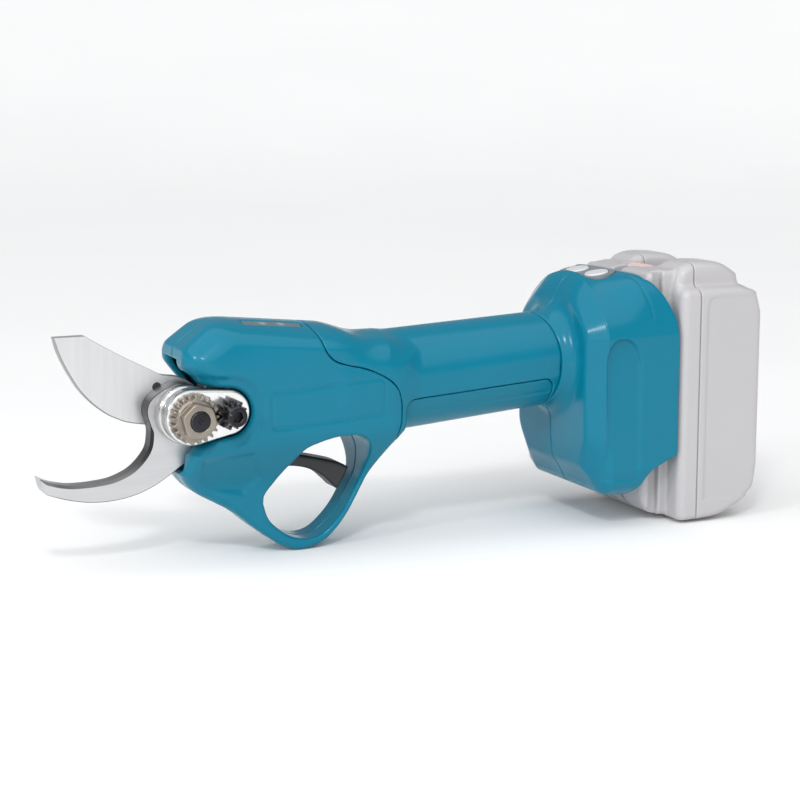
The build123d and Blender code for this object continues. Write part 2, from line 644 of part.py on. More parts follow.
def housing_hollow():
    """Hollow of the rear housing in front of the battery, from the same three views."""
    side = corner_face([(56, 54.0), (56, 89.5), (63, 89.6), (69.8, 92.8), (75.6, 98.6), (81.0, 105.2),
                        (85.0, 107.0), (100.4, 107.6), (100.4, 24.5), (95.4, 16.8), (87.0, 16.4), (80.0, 21.0),
                        (77.4, 31.0), (76.4, 40.0), (71.5, 50.0), (63.5, 54.0)])
    right = [(34.6, 27.0), (34.6, 80.0), (33.6, 90.4), (30.8, 98.4), (25.2, 104.4), (15.2, 107.8)]
    left = [(-y, z) for y, z in right[::-1]]
    front = corner_face([(24.5, 16.0), (31.6, 19.5), *right, *left, (-31.6, 19.5), (-24.5, 16.0)], Plane.YZ)
    edge = [(56, 18.4), (67.0, 18.8), (72.6, 23.0), (77.2, 29.6), (82.6, 33.6), (92, 34.6), (120, 34.6)]
    top = corner_face([*edge, *[(x, -y) for x, y in edge[::-1]]], Plane.XY)
    return along_y(side, -50, 50) & along_x(front, 50, 130) & along_z(top, 0, 130)


def battery_room():
    """Space that the battery's slide block moves through."""
    room = block((RAIL_FACE_X, 140), (-27.4, 27.4), (-5, 130))
    for side in (-1, 1):
        room -= block((109.0, 112.6), sorted((side * 24.2, side * 30)), (24.0, 88.0))
    return room


def battery_housing():
    body = housing_block() - housing_hollow()
    body -= battery_room()
    body -= handle_region()
    body -= on_button_face(extrude(Rot(0, 0, 90) * SlotOverall(34.2, 15.2), 4, both=True))
    body -= block((100.0, RAIL_FACE_X + 1), (-16, 16), (36, 62))
    body -= rod_x(14, 60, 64, 0, 71.9)
    return body


def controller_board():
    board = block((80.0, 81.6), (-26, 26), (34, 88))
    for y in (-16, -8, 0, 8, 16):
        board += block((81.6, 85.6), (y - 2.6, y + 2.6), (60, 69))
    return board + rod_x(5.0, 81.6, 95.0, -16, 80) + rod_x(5.0, 81.6, 95.0, 16, 80)


def terminal_block():
    base = block((97.5, RAIL_FACE_X), (-15.5, 15.5), (36.5, 61.5))
    for y in (-9.0, 0.0, 9.0):
        base -= block((96, 110), (y - 0.4, y + 0.4), (40, 54))
    return base


def terminal_blades():
    solids = []
    for y in (-9.0, 0.0, 9.0):
        solids += block((93.5, 110.0), (y - 0.4, y + 0.4), (40, 54)).solids()
    return Compound(solids)


def leads(x_low, x_high, places):
    """Straight insulated leads, as separate solids."""
    solids = []
    for y, z in places:
        solids += rod_x(1.4, x_low, x_high, y, z).solids()
    return Compound(solids)


# ---- battery -----------------------------------------------------------------------------
def battery_outline():
    """Side view of the battery's main case."""
    front, back = BATTERY_FRONT_X, HALF_LENGTH
    return smooth_face([
        [(front, 5.0), (front, 98.0)],
        [(front, 98.0), (119.0, 108.0), (124.6, 114.6), (131.0, SHOULDER_Z)],
        [(131.0, SHOULDER_Z), (140.5, 114.2), (149.5, 108.6)],
        [(149.5, 108.6), (150.2, 104.0)],
        [(150.2, 104.0), (156.6, 101.0), (back, 92.0)],
        [(back, 92.0), (back, 24.0)],
        [(back, 24.0), (157.2, 12.0), (149.0, 6.2)],
        [(149.0, 6.2), (136.0, 0.9), (128.0, 0.0)],
        [(128.0, 0.0), (120.0, 0.0)],
        [(120.0, 0.0), (118.0, 1.2), (front, 5.0)],
    ])


def battery_section():
    """Front view of the battery's main case, with its two shoulders."""
    w, top = BATTERY_HALF_WIDTH, SHOULDER_Z
    right = [(26.0, top), (30.5, 112.0), (32.5, 105.5), (w - 2.5, 103.0), (w, 99.0), (w, 6.0), (w - 5, 0.0)]
    left = [(-y, z) for y, z in right[::-1]]
    valley = [(-10.0, top), (-9.0, 104.0), (9.0, 104.0), (10.0, top)]
    return corner_face(right + left + valley, Plane.YZ)


def battery_form():
    return along_y(battery_outline(), -50, 50) & along_x(battery_section(), 100, 170)


def slide_block():
    """Block on the battery's front that runs on the housing's rails."""
    low, high = RAIL_FACE_X + 0.7, BATTERY_FRONT_X
    side = smooth_face([
        [(high, 2.0), (high, 111.0)],
        [(high, 111.0), (108.0, 110.0)],
        [(108.0, 110.0), (low + 0.8, 107.0), (low, 102.0)],
        [(low, 102.0), (low, 14.0)],
        [(low, 14.0), (106.0, 7.0), (112.0, 3.0), (high, 2.0)],
    ])
    slide = along_y(side, -26.9, 26.9)
    for face in (-1, 1):
        slide -= block((108.5, 113.1), sorted((face * 23.7, face * 30)), (-5, 130))
    for y in (-9.0, 0.0, 9.0):
        slide -= block((100, 111.5), (y - 1.4, y + 1.4), (-5, 60))
    return slide


def battery_cavity():
    room = corner_face([(119.6, 6.0), (137.0, 7.0), (139.0, 9.6), (150.0, 9.8), (155.4, 12.6), (157.2, 18.0),
                        (157.2, 94.0), (154.5, 100.0), (150.0, 102.4), (141.0, 102.4), (138.0, 100.0),
                        (119.6, 100.0)])
    return along_y(room, -33.2, 33.2)


def battery_case():
    case = battery_form() + slide_block()
    case -= battery_cavity()
    case -= block(*BUTTON_BAY)
    case -= block((104.0, 117.5), (-3.3, 3.3), (100.2, 115.0))
    return case


def battery_release_button():
    face = corner_face([(114.4, 100.6), (114.4, 107.0), (116.5, 110.5), (120.6, 111.5), (120.6, 100.6)])
    return along_y(face, -8.2, 8.2)


def battery_latch():
    """Hook on the button's front, drawn back flush with the slide block."""
    return block((104.6, 114.4), (-3.0, 3.0), (100.8, 103.2))


def battery_cells():
    """Ten 18650 cells lying across the tool, two deep and five high."""
    solids = []
    for x, lowest in ((128.9, 16.8), (147.5, 19.3)):
        for k in range(5):
            solids += rod_y(x, lowest + 18.4 * k, 9.1, -32.5, 32.5).solids()
    return Compound(solids)


def battery_contacts():
    solids = []
    for y in (-9.0, 0.0, 9.0):
        clip = block((104.6, 111.0), (y - 1.3, y - 0.6), (38, 56))
        clip += block((104.6, 111.0), (y + 0.6, y + 1.3), (38, 56))
        solids += clip.solids()
    return Compound(solids)


# ---- build -------------------------------------------------------------------------------
def build_blades():
    keep(fixed_blade(), "fixed_blade")
    keep(cutting_blade(), "cutting_blade")
    keep(blade_bumper(), "blade_bumper")
    keep(pivot_boss(), "pivot_boss")
    keep(gear_plate(), "gear_plate")
    keep(pivot_nut(), "pivot_nut")
    keep(lock_pinion(), "lock_pinion")
    keep(lock_bolt(), "lock_bolt")
    keep(pivot_bolt(), "pivot_bolt")
    keep(pivot_washer(), "pivot_washer")
    keep(blade_screws(), "blade_screws")


def build_drive():
    keep(link_plates(), "link_plates")
    keep(link_pin(), "link_pin")
    keep(ball_nut(), "ball_nut")
    keep(nut_pin(), "nut_pin")
    keep(ball_screw(), "ball_screw")
    keep(screw_bearings(), "screw_bearings")
    keep(bearing_holder(), "bearing_holder")
    keep(planet_carrier(), "planet_carrier")
    for k in range(3):
        keep(planet_gear(k), f"planet_gear_{k + 1}")
    keep(sun_gear(), "sun_gear")
    keep(ring_gear(), "ring_gear")
    keep(motor_shaft(), "motor_shaft")
    keep(motor_rotor(), "motor_rotor")
    keep(motor_stator(), "motor_stator")
    keep(motor_case(), "motor_case")
    keep(motor_bearings(), "motor_bearings")


def build_shells():
    body = front_body() - grip_region_cut()
    head = body & seam_region()
    head -= indicator_recess()
    shell_halves(head, "head_cover_left", "head_cover_right")
    handle = (body - seam_region()) & handle_region()
    shell_halves(handle, "handle_shell_left", "handle_shell_right")
    keep(grip_panel(), "grip_panel")
    shell_halves(battery_housing(), "battery_housing_left", "battery_housing_right")


def grip_region_cut():
    """What the grip panel takes out of the handle shells."""
    return (handle_cone(-0.5) - handle_cone(1.4)) & grip_region()


def build_controls():
    keep(trigger(), "trigger")
    keep(trigger_pin(), "trigger_pin")
    keep(trigger_spring(), "trigger_spring")
    keep(trigger_sensor(), "trigger_sensor")
    keep(indicator_window(), "indicator_window")
    keep(indicator_board(), "indicator_board")
    keep(button_panel(), "button_panel")
    keep(push_button(-1), "power_button")
    keep(push_button(1), "mode_button")
    keep(button_board(), "button_board")
    keep(controller_board(), "controller_board")
    keep(terminal_block(), "terminal_block")
    keep(terminal_blades(), "terminal_blades")
    keep(leads(MOTOR_FRONT_X + MOTOR_LENGTH, 80.0, ((-6, 72), (0, 76), (6, 72))), "motor_leads")
    keep(leads(81.6, 93.5, ((-9, 47), (9, 47))), "battery_leads")


def build_battery():
    case = battery_case()
    keep(case & block((90, BATTERY_SEAM_X), (-60, 60), (-5, 130)), "battery_case_front")
    keep(case & block((BATTERY_SEAM_X, 170), (-60, 60), (-5, 130)), "battery_case_rear")
    keep(battery_release_button(), "battery_release_button")
    keep(battery_latch(), "battery_latch")
    keep(battery_cells(), "battery_cells")
    keep(battery_contacts(), "battery_contacts")


build_blades()
build_drive()
build_shells()
build_controls()
build_battery()
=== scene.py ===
import json
import math

import bpy
import numpy as np
import openvdb
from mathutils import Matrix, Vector


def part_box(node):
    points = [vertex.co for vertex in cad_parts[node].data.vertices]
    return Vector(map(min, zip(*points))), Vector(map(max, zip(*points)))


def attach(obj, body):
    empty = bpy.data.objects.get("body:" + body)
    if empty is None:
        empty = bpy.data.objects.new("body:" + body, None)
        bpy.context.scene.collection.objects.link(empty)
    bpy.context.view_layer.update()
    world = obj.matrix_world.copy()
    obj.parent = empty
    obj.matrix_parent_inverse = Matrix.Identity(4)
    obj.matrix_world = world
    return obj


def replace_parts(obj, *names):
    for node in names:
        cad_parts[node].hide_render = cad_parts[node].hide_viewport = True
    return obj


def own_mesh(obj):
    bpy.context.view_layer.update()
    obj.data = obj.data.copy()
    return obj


# Looks of the battery electric pruner. Forms are worked out in millimetres, in the row frame:
# -X towards the blades, +X towards the battery, -Y the side with the toothed nut, +Z up.

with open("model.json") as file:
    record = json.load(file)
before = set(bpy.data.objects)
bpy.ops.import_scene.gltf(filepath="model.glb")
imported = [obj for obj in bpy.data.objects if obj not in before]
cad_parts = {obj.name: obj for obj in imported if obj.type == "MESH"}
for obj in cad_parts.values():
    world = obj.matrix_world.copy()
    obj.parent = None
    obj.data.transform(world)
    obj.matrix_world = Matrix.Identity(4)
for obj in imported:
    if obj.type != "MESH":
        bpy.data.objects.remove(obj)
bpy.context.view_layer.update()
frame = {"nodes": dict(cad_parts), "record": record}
MM = 0.001


def middle(node):
    """Centre of a CAD node's box, in millimetres."""
    low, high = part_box(node)
    return (low + high) / 2 / MM


def span(node, axis):
    """Lowest and highest value of a CAD node along one axis, in millimetres."""
    low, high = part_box(node)
    return low[axis] / MM, high[axis] / MM


def around(node, room):
    """A CAD node's box with room round it, in millimetres."""
    low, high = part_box(node)
    return np.array(low) / MM - room, np.array(high) / MM + room


# ---- driving dimensions ----
STEP = 0.5                       # spacing of the sample points of a moulded form
LEVER_STEP = 0.35                # the same for the trigger
FINE = 0.25                      # and for small machined pieces
WALL = 2.4                       # thickness of the moulded skins
PIVOT = middle("pivot_bolt")
PINION = middle("lock_pinion")
PLATE_Y = span("gear_plate", 1)
BLOCK_Y = span("pivot_boss", 1)
NUT_Y = span("pivot_nut", 1)
BOLT_Y = span("pivot_bolt", 1)
HEAD_HALF = 22.0                 # half width of the head
GUARD_HALF = 8.8                 # half width of the finger guard
CHEEK_DEPTH = 1.1                # of the soft dent below the steel plate
DISH_DEPTH = 0.9                 # of the dish round its socket
HANDLE_Z = 67.9                  # handle axis at X = 0, and its rise
HANDLE_RISE = math.radians(3.65)
HANDLE_R = (21.5, 20.6)          # at the head and at the rear housing
HANDLE_OVAL = 1.025              # how much flatter the handle is at its sides
HANDLE_FLATS = ((4.9, 0.55), (25.6, 0.42))    # degrees below the side, and depth
RING_X = span("battery_housing_left", 0)[0]
HOUSING_HALF = 37.2
BATTERY_HALF = span("battery_case_rear", 1)[1]
BATTERY_X = span("battery_case_rear", 0)
SEAM_GAP = 0.15                  # half the gap between two mouldings

TO_PINION = math.atan2(PINION.z - PIVOT.z, PINION.x - PIVOT.x)
GEAR_MODULE = 0.9
NUT_TEETH, PINION_TEETH = 21, 12
NUT_HALF_FLAT = 6.5              # half of the 13 mm across the nut's flats
PLATE_R = (11.3, 9.3)            # ends of the steel plate, round the pivot and the pinion
NECK_R = (10.7, 8.7)             # the same for the block behind it
SOCKET_R = (11.9, 9.9)           # and for the socket in the head
BOLT_R, BOLT_HEAD_R = 4.0, 7.5
LOCK_R, LOCK_HEAD_R = 2.45, 4.1
BLADE_SLOT_Y = (-8.4, 9.2)
BLADE_SLOT_Z = (38.0, 77.6)

BLADE_SWING = math.radians(56)   # from open to closed
LINK_PIN = middle("link_pin")
LINK_Y = span("link_pin", 1)
LINK_ARM = math.hypot(LINK_PIN.x - PIVOT.x, LINK_PIN.z - PIVOT.z)
EYE_ROOM = 4.5                   # radius of the room round the link's front eye
CLOSED_TURN = math.atan2(LINK_PIN.x - PIVOT.x, LINK_PIN.z - PIVOT.z) - BLADE_SWING
CLOSED_PIN = PIVOT + LINK_ARM * Vector((math.sin(CLOSED_TURN), 0, math.cos(CLOSED_TURN)))
TRIGGER = middle("trigger_pin")
BUTTONS = (middle("power_button") + middle("mode_button")) / 2
BUTTON_SLOPE = math.radians(10)
SPRING_WIRE = 0.35               # radius of the trigger spring's wire
SPRING_TURNS = 4


# ---- curves and distances ----
def spread(points, parts=8):
    """A run of points as a Catmull-Rom curve; a run of two points stays a straight edge."""
    p = np.array(points, float)
    if len(p) == 2:
        return p
    p = np.vstack([2 * p[0] - p[1], p, 2 * p[-1] - p[-2]])
    t = np.linspace(0, 1, parts, endpoint=False)[:, None]
    rows = []
    for a, b, c, d in zip(p, p[1:], p[2:], p[3:]):
        rows.append(b + t / 2 * (c - a + t * (2 * a - 5 * b + 4 * c - d + t * (3 * (b - c) + d - a))))
    return np.vstack([*rows, p[-2:-1]])


def outline(*runs):
    """Closed outline from runs that follow each other."""
    line = np.vstack([spread(run) for run in runs])
    keep = np.linalg.norm(line - np.roll(line, 1, axis=0), axis=1) > 1e-3
    return line[keep]


def polygon(corners):
    """Closed outline with straight edges between its corners."""
    return outline(*([a, b] for a, b in zip(corners, corners[1:] + corners[:1])))


def gap_to(line, a, b, closed=False):
    """Distance of the points (a, b) from a line; negative inside it if it is closed."""
    a, b = np.broadcast_arrays(a, b)
    near = np.full(a.shape, 1e9, np.float32)
    inside = np.zeros(a.shape, bool)
    ends = np.roll(line, -1, axis=0) if closed else line[1:]
    for (u0, v0), (u1, v1) in zip(line, ends):
        du, dv = u1 - u0, v1 - v0
        t = np.clip(((a - u0) * du + (b - v0) * dv) / (du * du + dv * dv), 0, 1)
        near = np.minimum(near, np.hypot(a - u0 - t * du, b - v0 - t * dv))
        if closed and v0 != v1:
            inside ^= ((v0 > b) != (v1 > b)) & (a < u0 + du * (b - v0) / dv)
    return np.where(inside, -near, near)


def flat(line, a, b):
    return gap_to(line, a, b, closed=True)


def ease(t):
    """Smooth step from 0 to 1 as t goes from 0 to 1."""
    t = np.clip(t, 0, 1)
    return t * t * (3 - 2 * t)


def meet(a, b, r):
    """What two forms share, with the edge between them rounded to radius r."""
    return np.minimum(np.maximum(a, b), -r) + np.hypot(np.maximum(a + r, 0), np.maximum(b + r, 0))


def join(a, b, r):
    """Two forms together, with a fillet of radius r between them."""
    return -meet(-a, -b, r)


def cut(a, b, r):
    """The first form without the second, with a rim rounded to radius r."""
    return meet(a, -b, r)


def slab(v, low, high):
    """Distance to the space between two parallel planes."""
    return np.abs(v - (low + high) / 2) - (high - low) / 2


def groove(gap, depth, width):
    """How much a fine groove of that half width takes away at a distance from its line."""
    return depth * np.exp(-((gap / width) ** 2))


def teardrop(x, z, big, small):
    """Distance to the outline round a circle at the pivot and a smaller one at the pinion."""
    along_x, along_z = PINION.x - PIVOT.x, PINION.z - PIVOT.z
    length = math.hypot(along_x, along_z)
    c, s = along_x / length, along_z / length
    v = (x - PIVOT.x) * c + (z - PIVOT.z) * s
    u = np.abs(-(x - PIVOT.x) * s + (z - PIVOT.z) * c)
    b = (big - small) / length
    a = math.sqrt(1 - b * b)
    k = v * a - u * b
    side = u * a + v * b - big
    side = np.where(k > a * length, np.hypot(u, v - length) - small, side)
    return np.where(k < 0, np.hypot(u, v) - big, side)


def disc(x, z, at, radius):
    """Distance to a round bar along Y."""
    return np.hypot(x - at.x, z - at.z) - radius


# ---- meshes ----
def put(name, data):
    """New object in the scene that shows a mesh, a light or a camera."""
    item = bpy.data.objects.new(name, data)
    bpy.context.scene.collection.objects.link(item)
    return item


def new_piece(name, points, faces, body, slot, shader=None):
    """Piece from points in millimetres; it rides on a body and takes its slot's finish or its own."""
    mesh = bpy.data.meshes.new(name)
    corners = [tuple(p) for p in np.asarray(points, float) * MM]
    mesh.from_pydata(corners, [], [tuple(map(int, face)) for face in faces])
    mesh.polygons.foreach_set("use_smooth", [True] * len(mesh.polygons))
    mesh.materials.append(shader or MATERIALS[slot])
    piece = put(name, mesh)
    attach(piece, body)
    return piece


def moulding(name, form, low, high, body, slot, step=STEP):
    """Piece whose surface is where form(x, y, z) is zero, sampled inside a box."""
    low = np.array(low, float)
    axes = [np.arange(a, b + step, step) for a, b in zip(low, high)]
    x, y, z = axes[0][:, None, None], axes[1][None, :, None], axes[2][None, None, :]
    values = np.broadcast_to(form(x, y, z), [len(a) for a in axes])
    values = np.clip(values, -3 * step, 3 * step).astype(np.float32)
    grid = openvdb.FloatGrid(3 * step)
    grid.copyFromArray(np.ascontiguousarray(values))
    points, triangles, quads = grid.convertToPolygons(0.0, 0.0)
    normals = surface_normals(values, points)
    piece = new_piece(name, points * step + low, [*triangles, *quads], body, slot)
    some = list(piece.data.polygons)[::97]
    agree = sum(np.dot(face.normal, normals[face.vertices[0]]) for face in some)
    if agree < 0:
        piece.data.flip_normals()
    piece.data.normals_split_custom_set_from_vertices(normals)
    return piece


def surface_normals(values, points):
    """Outward directions at points of a sampled form, from its slope."""
    cell = np.clip(np.floor(points).astype(int), 0, np.array(values.shape) - 2)
    part = points - cell
    normals = np.zeros(points.shape)
    for axis, slope in enumerate(np.gradient(values)):
        for corner in np.ndindex(2, 2, 2):
            weight = np.prod(np.where(corner, part, 1 - part), axis=1)
            normals[:, axis] += weight * slope[tuple((cell + corner).T)]
    return normals / np.maximum(np.linalg.norm(normals, axis=1, keepdims=True), 1e-9)


def plate(name, line, low, high, inset, depth, body, slot, shader=None):
    """Flat plate between two Y values; each outline point has its own bevel on the near (-Y) face."""
    ahead, behind = np.roll(line, -1, axis=0), np.roll(line, 1, axis=0)
    run = ahead - behind
    normal = np.stack([-run[:, 1], run[:, 0]], axis=1) / np.linalg.norm(run, axis=1, keepdims=True)
    turning = np.sum(line[:, 0] * ahead[:, 1] - ahead[:, 0] * line[:, 1])
    normal *= np.sign(turning)
    fine = np.full(len(line), 0.25)
    rings = [(inset, low), (0 * fine, low + depth), (0 * fine, high - fine), (fine, high)]
    points = []
    for amount, y in rings:
        flat_points = line + normal * np.asarray(amount)[:, None]
        heights = np.broadcast_to(y, len(line))
        points += [(u, v, w) for (u, w), v in zip(flat_points, heights)]
    count = len(line)
    faces = [tuple(range(count)), tuple(range(4 * count - 1, 3 * count - 1, -1))]
    for ring in range(3):
        for k in range(count):
            a, b = ring * count + k, ring * count + (k + 1) % count
            faces.append((a, a + count, b + count, b))
    piece = new_piece(name, points, faces, body, slot, shader)
    piece.data.set_sharp_from_angle(angle=math.radians(25))
    return piece


# ---- materials ----
# An X far beyond the tool, so the painted flank shade never fades out.
SHADE_ALL_ALONG = -1000.0


class Shader:
    """A node material in the making, with its nodes' inputs in short words."""

    def __init__(self, name, colour, roughness, metallic=0.0):
        self.material = bpy.data.materials.new(name)
        self.material.use_nodes = True
        self.tree = self.material.node_tree
        self.main = self.tree.nodes["Principled BSDF"]
        self.place = self.tree.nodes.new("ShaderNodeTexCoord").outputs["Object"]
        self.colour = colour
        self.roughness = roughness
        self.main.inputs["Metallic"].default_value = metallic
        self.main.inputs["Base Color"].default_value = (*colour, 1)
        self.material.diffuse_color = (*colour, 1)

    def node(self, kind, **inputs):
        node = self.tree.nodes.new(kind)
        for socket, value in inputs.items():
            self.feed(node.inputs[socket.replace("_", " ")], value)
        return node

    def feed(self, socket, value):
        if isinstance(value, bpy.types.NodeSocket):
            self.tree.links.new(value, socket)
        else:
            socket.default_value = value

    def noise(self, scale, detail=3.0, stretch=(1, 1, 1)):
        mapping = self.node("ShaderNodeMapping", Vector=self.place, Scale=stretch)
        noise = self.node("ShaderNodeTexNoise", Vector=mapping.outputs[0], Scale=scale, Detail=detail)
        return noise.outputs["Fac"]

    def ramp(self, value, start, end, low=0.0, high=1.0):
        """Goes from low to high as the value goes from start to end."""
        node = self.node("ShaderNodeMapRange", Value=value, From_Min=start, From_Max=end,
                         To_Min=low, To_Max=high)
        return node.outputs["Result"]

    def between(self, value, low, high):
        """The value's middle part, stretched to run from low to high."""
        return self.ramp(value, 0.3, 0.7, low, high)

    def mix(self, amount, first, second):
        node = self.tree.nodes.new("ShaderNodeMix")
        node.data_type = "RGBA"
        self.feed(node.inputs["Factor"], amount)
        self.feed(node.inputs["A"], first)
        self.feed(node.inputs["B"], second)
        return node.outputs["Result"]

    def drift(self, scale, amount, stretch=(1, 1, 1)):
        """Slow lighter and darker areas."""
        dark = [c * (1 - amount) for c in self.colour] + [1]
        light = [min(1, c * (1 + amount)) for c in self.colour] + [1]
        patches = self.between(self.noise(scale, stretch=stretch), 0.0, 1.0)
        return self.mix(patches, dark, light)

    def wear(self, colour, worn, start, amount, scale=180.0):
        """Convex edges turn to the worn colour, in broken patches."""
        edge = self.tree.nodes.new("ShaderNodeNewGeometry").outputs["Pointiness"]
        sharp = self.ramp(edge, start, start + 0.08)
        broken = self.between(self.noise(scale), 0.0, amount)
        product = self.node("ShaderNodeMath", Value=sharp)
        product.operation = "MULTIPLY"
        self.feed(product.inputs[1], broken)
        return self.mix(product.outputs[0], colour, (*worn, 1))

    def facing(self):
        """X, Y and Z parts of the direction that the surface faces."""
        normal = self.tree.nodes.new("ShaderNodeNewGeometry").outputs["True Normal"]
        return self.node("ShaderNodeSeparateXYZ", Vector=normal).outputs

    def turned_away(self, facing_y):
        """0 on faces square to the Y axis, 1 on sides that face away from it."""
        flatness = self.node("ShaderNodeMath", Value=facing_y)
        flatness.operation = "ABSOLUTE"
        return self.ramp(flatness.outputs[0], 0.97, 0.8)

    def bump(self, height, strength, distance=0.0002):
        node = self.node("ShaderNodeBump", Height=height, Strength=strength, Distance=distance)
        self.feed(self.main.inputs["Normal"], node.outputs["Normal"])

    def finish(self, colour, rough_noise, spread_by):
        self.feed(self.main.inputs["Base Color"], colour)
        low, high = self.roughness - spread_by, self.roughness + spread_by
        self.feed(self.main.inputs["Roughness"], self.between(rough_noise, low, high))
        return self.material


def moulded_plastic(name, colour, roughness, grain=0.05, gloss=0.5):
    """Moulded nylon: fine spark-eroded grain and faint flow marks."""
    s = Shader(name, colour, roughness)
    s.main.inputs["Specular IOR Level"].default_value = gloss
    s.bump(s.noise(2600, 2), grain)
    return s.finish(s.drift(16, 0.02), s.noise(240), 0.01)


def rubber(name, colour, roughness):
    """Soft moulded grip: matt, with a coarser grain and dusty patches."""
    s = Shader(name, colour, roughness)
    s.main.inputs["Sheen Weight"].default_value = 0.15
    s.bump(s.noise(1500, 3), 0.35)
    return s.finish(s.drift(40, 0.09), s.noise(150), 0.05)


def ground_steel(name, colour, roughness, stretch, scratch=0.25, flank=1.0, shade_fade_x=SHADE_ALL_ALONG):
    """Steel with grinding lines in one direction; its flanks keep only a share of the colour as painted
    shade, more where they face up; this painted shade stops past the given X towards -X.
    """
    s = Shader(name, colour, roughness, 0.85)
    lines = s.noise(900, 4, stretch)
    s.bump(lines, scratch, 0.00005)
    face = s.drift(500, 0.03, stretch)
    facing = s.facing()
    # Painted shade: the flanks keep only the flank share of the colour, more of it where they face up, as if
    # lit from above.
    share = s.ramp(facing["Z"], 0.55, 0.98, flank, 0.5 + 0.5 * flank)
    sides = s.mix(share, (0, 0, 0, 1), (*colour, 1))
    # The painted flank shade fades out past the given X towards the tip.
    along = s.node("ShaderNodeSeparateXYZ", Vector=s.place).outputs["X"]
    tip_unshaded = s.ramp(along, (shade_fade_x + 3.0) * MM, (shade_fade_x - 3.0) * MM, high=0.8)
    sides = s.mix(tip_unshaded, sides, face)
    return s.finish(s.mix(s.turned_away(facing["Y"]), face, sides), lines, 0.05)


def polished_steel(name, colour, roughness, side=1.0):
    """Bright machined steel with fine scratches; its sides carry painted shade, taking the share side of the
    colour.
    """
    s = Shader(name, colour, roughness, 0.85)
    s.bump(s.noise(1800, 3), 0.05, 0.0001)
    face = s.drift(90, 0.05)
    # Painted shade: the sides turned away from Y take the colour scaled by side.
    sides_shaded = s.mix(s.turned_away(s.facing()["Y"]), face, [c * side for c in colour] + [1])
    return s.finish(sides_shaded, s.noise(300, 5), 0.06)


def plated_metal(name, colour, roughness, worn):
    """Plated or blackened metal, rubbed bare on its edges, with uneven tone."""
    s = Shader(name, colour, roughness, 1.0)
    s.bump(s.noise(1400, 4), 0.15, 0.0001)
    return s.finish(s.wear(s.drift(160, 0.16), worn, 0.52, 0.9), s.noise(400), 0.08)


def circuit_board(name, colour):
    """Solder mask over fine tracks."""
    s = Shader(name, colour, 0.35)
    tracks = s.node("ShaderNodeTexWave", Vector=s.place, Scale=260, Distortion=2.0).outputs["Fac"]
    s.bump(tracks, 0.2)
    paler = [c * 1.8 for c in colour] + [1]
    return s.finish(s.mix(s.between(tracks, 0.0, 0.4), (*colour, 1), paler), s.noise(300), 0.05)


def smoked_window(name, colour, lamps):
    """Smoke-grey plastic with a paler spot over each indicator lamp."""
    s = Shader(name, colour, 0.3)
    s.bump(s.noise(1200, 2), 0.05)
    shade = s.drift(60, 0.06)
    for x, y in lamps:
        across = s.node("ShaderNodeMapping", Vector=s.place, Scale=(1, 1, 0),
                        Location=(-x * MM, -y * MM, 0))
        reach = s.node("ShaderNodeVectorMath", Vector=across.outputs[0])
        reach.operation = "LENGTH"
        spot = s.ramp(reach.outputs["Value"], 0.0022, 0.0006)
        shade = s.mix(spot, shade, [min(1, c * 2.2) for c in colour] + [1])
    return s.finish(shade, s.noise(200), 0.03)


TEAL = (0.001, 0.168, 0.262)
LAMPS = ((-64.6, -7.7), (-56.6, -7.7))    # X and Y of the two lamps under the window
MATERIALS = {
    "teal_shell": moulded_plastic("teal_nylon", TEAL, 0.20, 0.03, 0.26),
    "teal_grip": moulded_plastic("teal_elastomer", (0.001, 0.168, 0.258), 0.3, 0.06, 0.28),
    # The blade's flanks carry painted shade, keeping 0.45 of the colour, more where they face up.
    "blade_steel": ground_steel("ground_blade_steel", (0.69, 0.69, 0.70), 0.34, (1, 1, 0.06), 0.08, 0.45),
    # The block's sides carry painted shade at half the colour.
    "polished_steel": polished_steel("polished_steel", (0.84, 0.84, 0.84), 0.16, 0.5),
    "bronze_nut": plated_metal("bronze_plating", (0.30, 0.265, 0.225), 0.36, (0.62, 0.58, 0.52)),
    "black_steel": plated_metal("black_oxide", (0.035, 0.035, 0.04), 0.34, (0.30, 0.30, 0.31)),
    "plain_steel": ground_steel("turned_steel", (0.60, 0.60, 0.62), 0.28, (0.1, 1, 1)),
    "cast_metal": plated_metal("die_cast_metal", (0.60, 0.61, 0.63), 0.45, (0.8, 0.8, 0.8)),
    "laminations": ground_steel("stacked_laminations", (0.20, 0.20, 0.22), 0.4, (4, 0.2, 0.2), 0.5),
    "black_plastic": moulded_plastic("black_nylon", (0.018, 0.018, 0.020), 0.42, 0.2),
    "smoke_window": smoked_window("smoked_plastic", (0.13, 0.155, 0.17), LAMPS),
    "button_white": moulded_plastic("button_plastic", (0.66, 0.67, 0.70), 0.3, 0.04),
    "black_rubber": rubber("black_rubber", (0.02, 0.02, 0.02), 0.6),
    "board_green": circuit_board("circuit_board", (0.02, 0.16, 0.07)),
    "contact_brass": plated_metal("plated_contact", (0.72, 0.52, 0.22), 0.25, (0.85, 0.7, 0.4)),
    "lead_red": moulded_plastic("lead_insulation", (0.40, 0.03, 0.02), 0.45),
    "battery_grey": moulded_plastic("battery_case_plastic", (0.475, 0.464, 0.475), 0.3, 0.02, 0.4),
    "battery_button": moulded_plastic("release_button_plastic", (0.60, 0.42, 0.40), 0.4, 0.05),
    "cell_wrap": moulded_plastic("cell_sleeve", (0.05, 0.20, 0.20), 0.3),
    "spring_steel": polished_steel("spring_wire", (0.55, 0.55, 0.57), 0.25),
}
# Painted shade keeps the hook's flanks nearly black, lighter where they face up, and fades out at its tip
# past X = -153.
HOOK_STEEL = ground_steel("ground_hook_steel", (0.59, 0.59, 0.60), 0.34, (0.06, 1, 1), 0.08, 0.06, -153.0)
DECK_GREY = moulded_plastic("button_deck_plastic", (0.20, 0.22, 0.235), 0.35, 0.1)


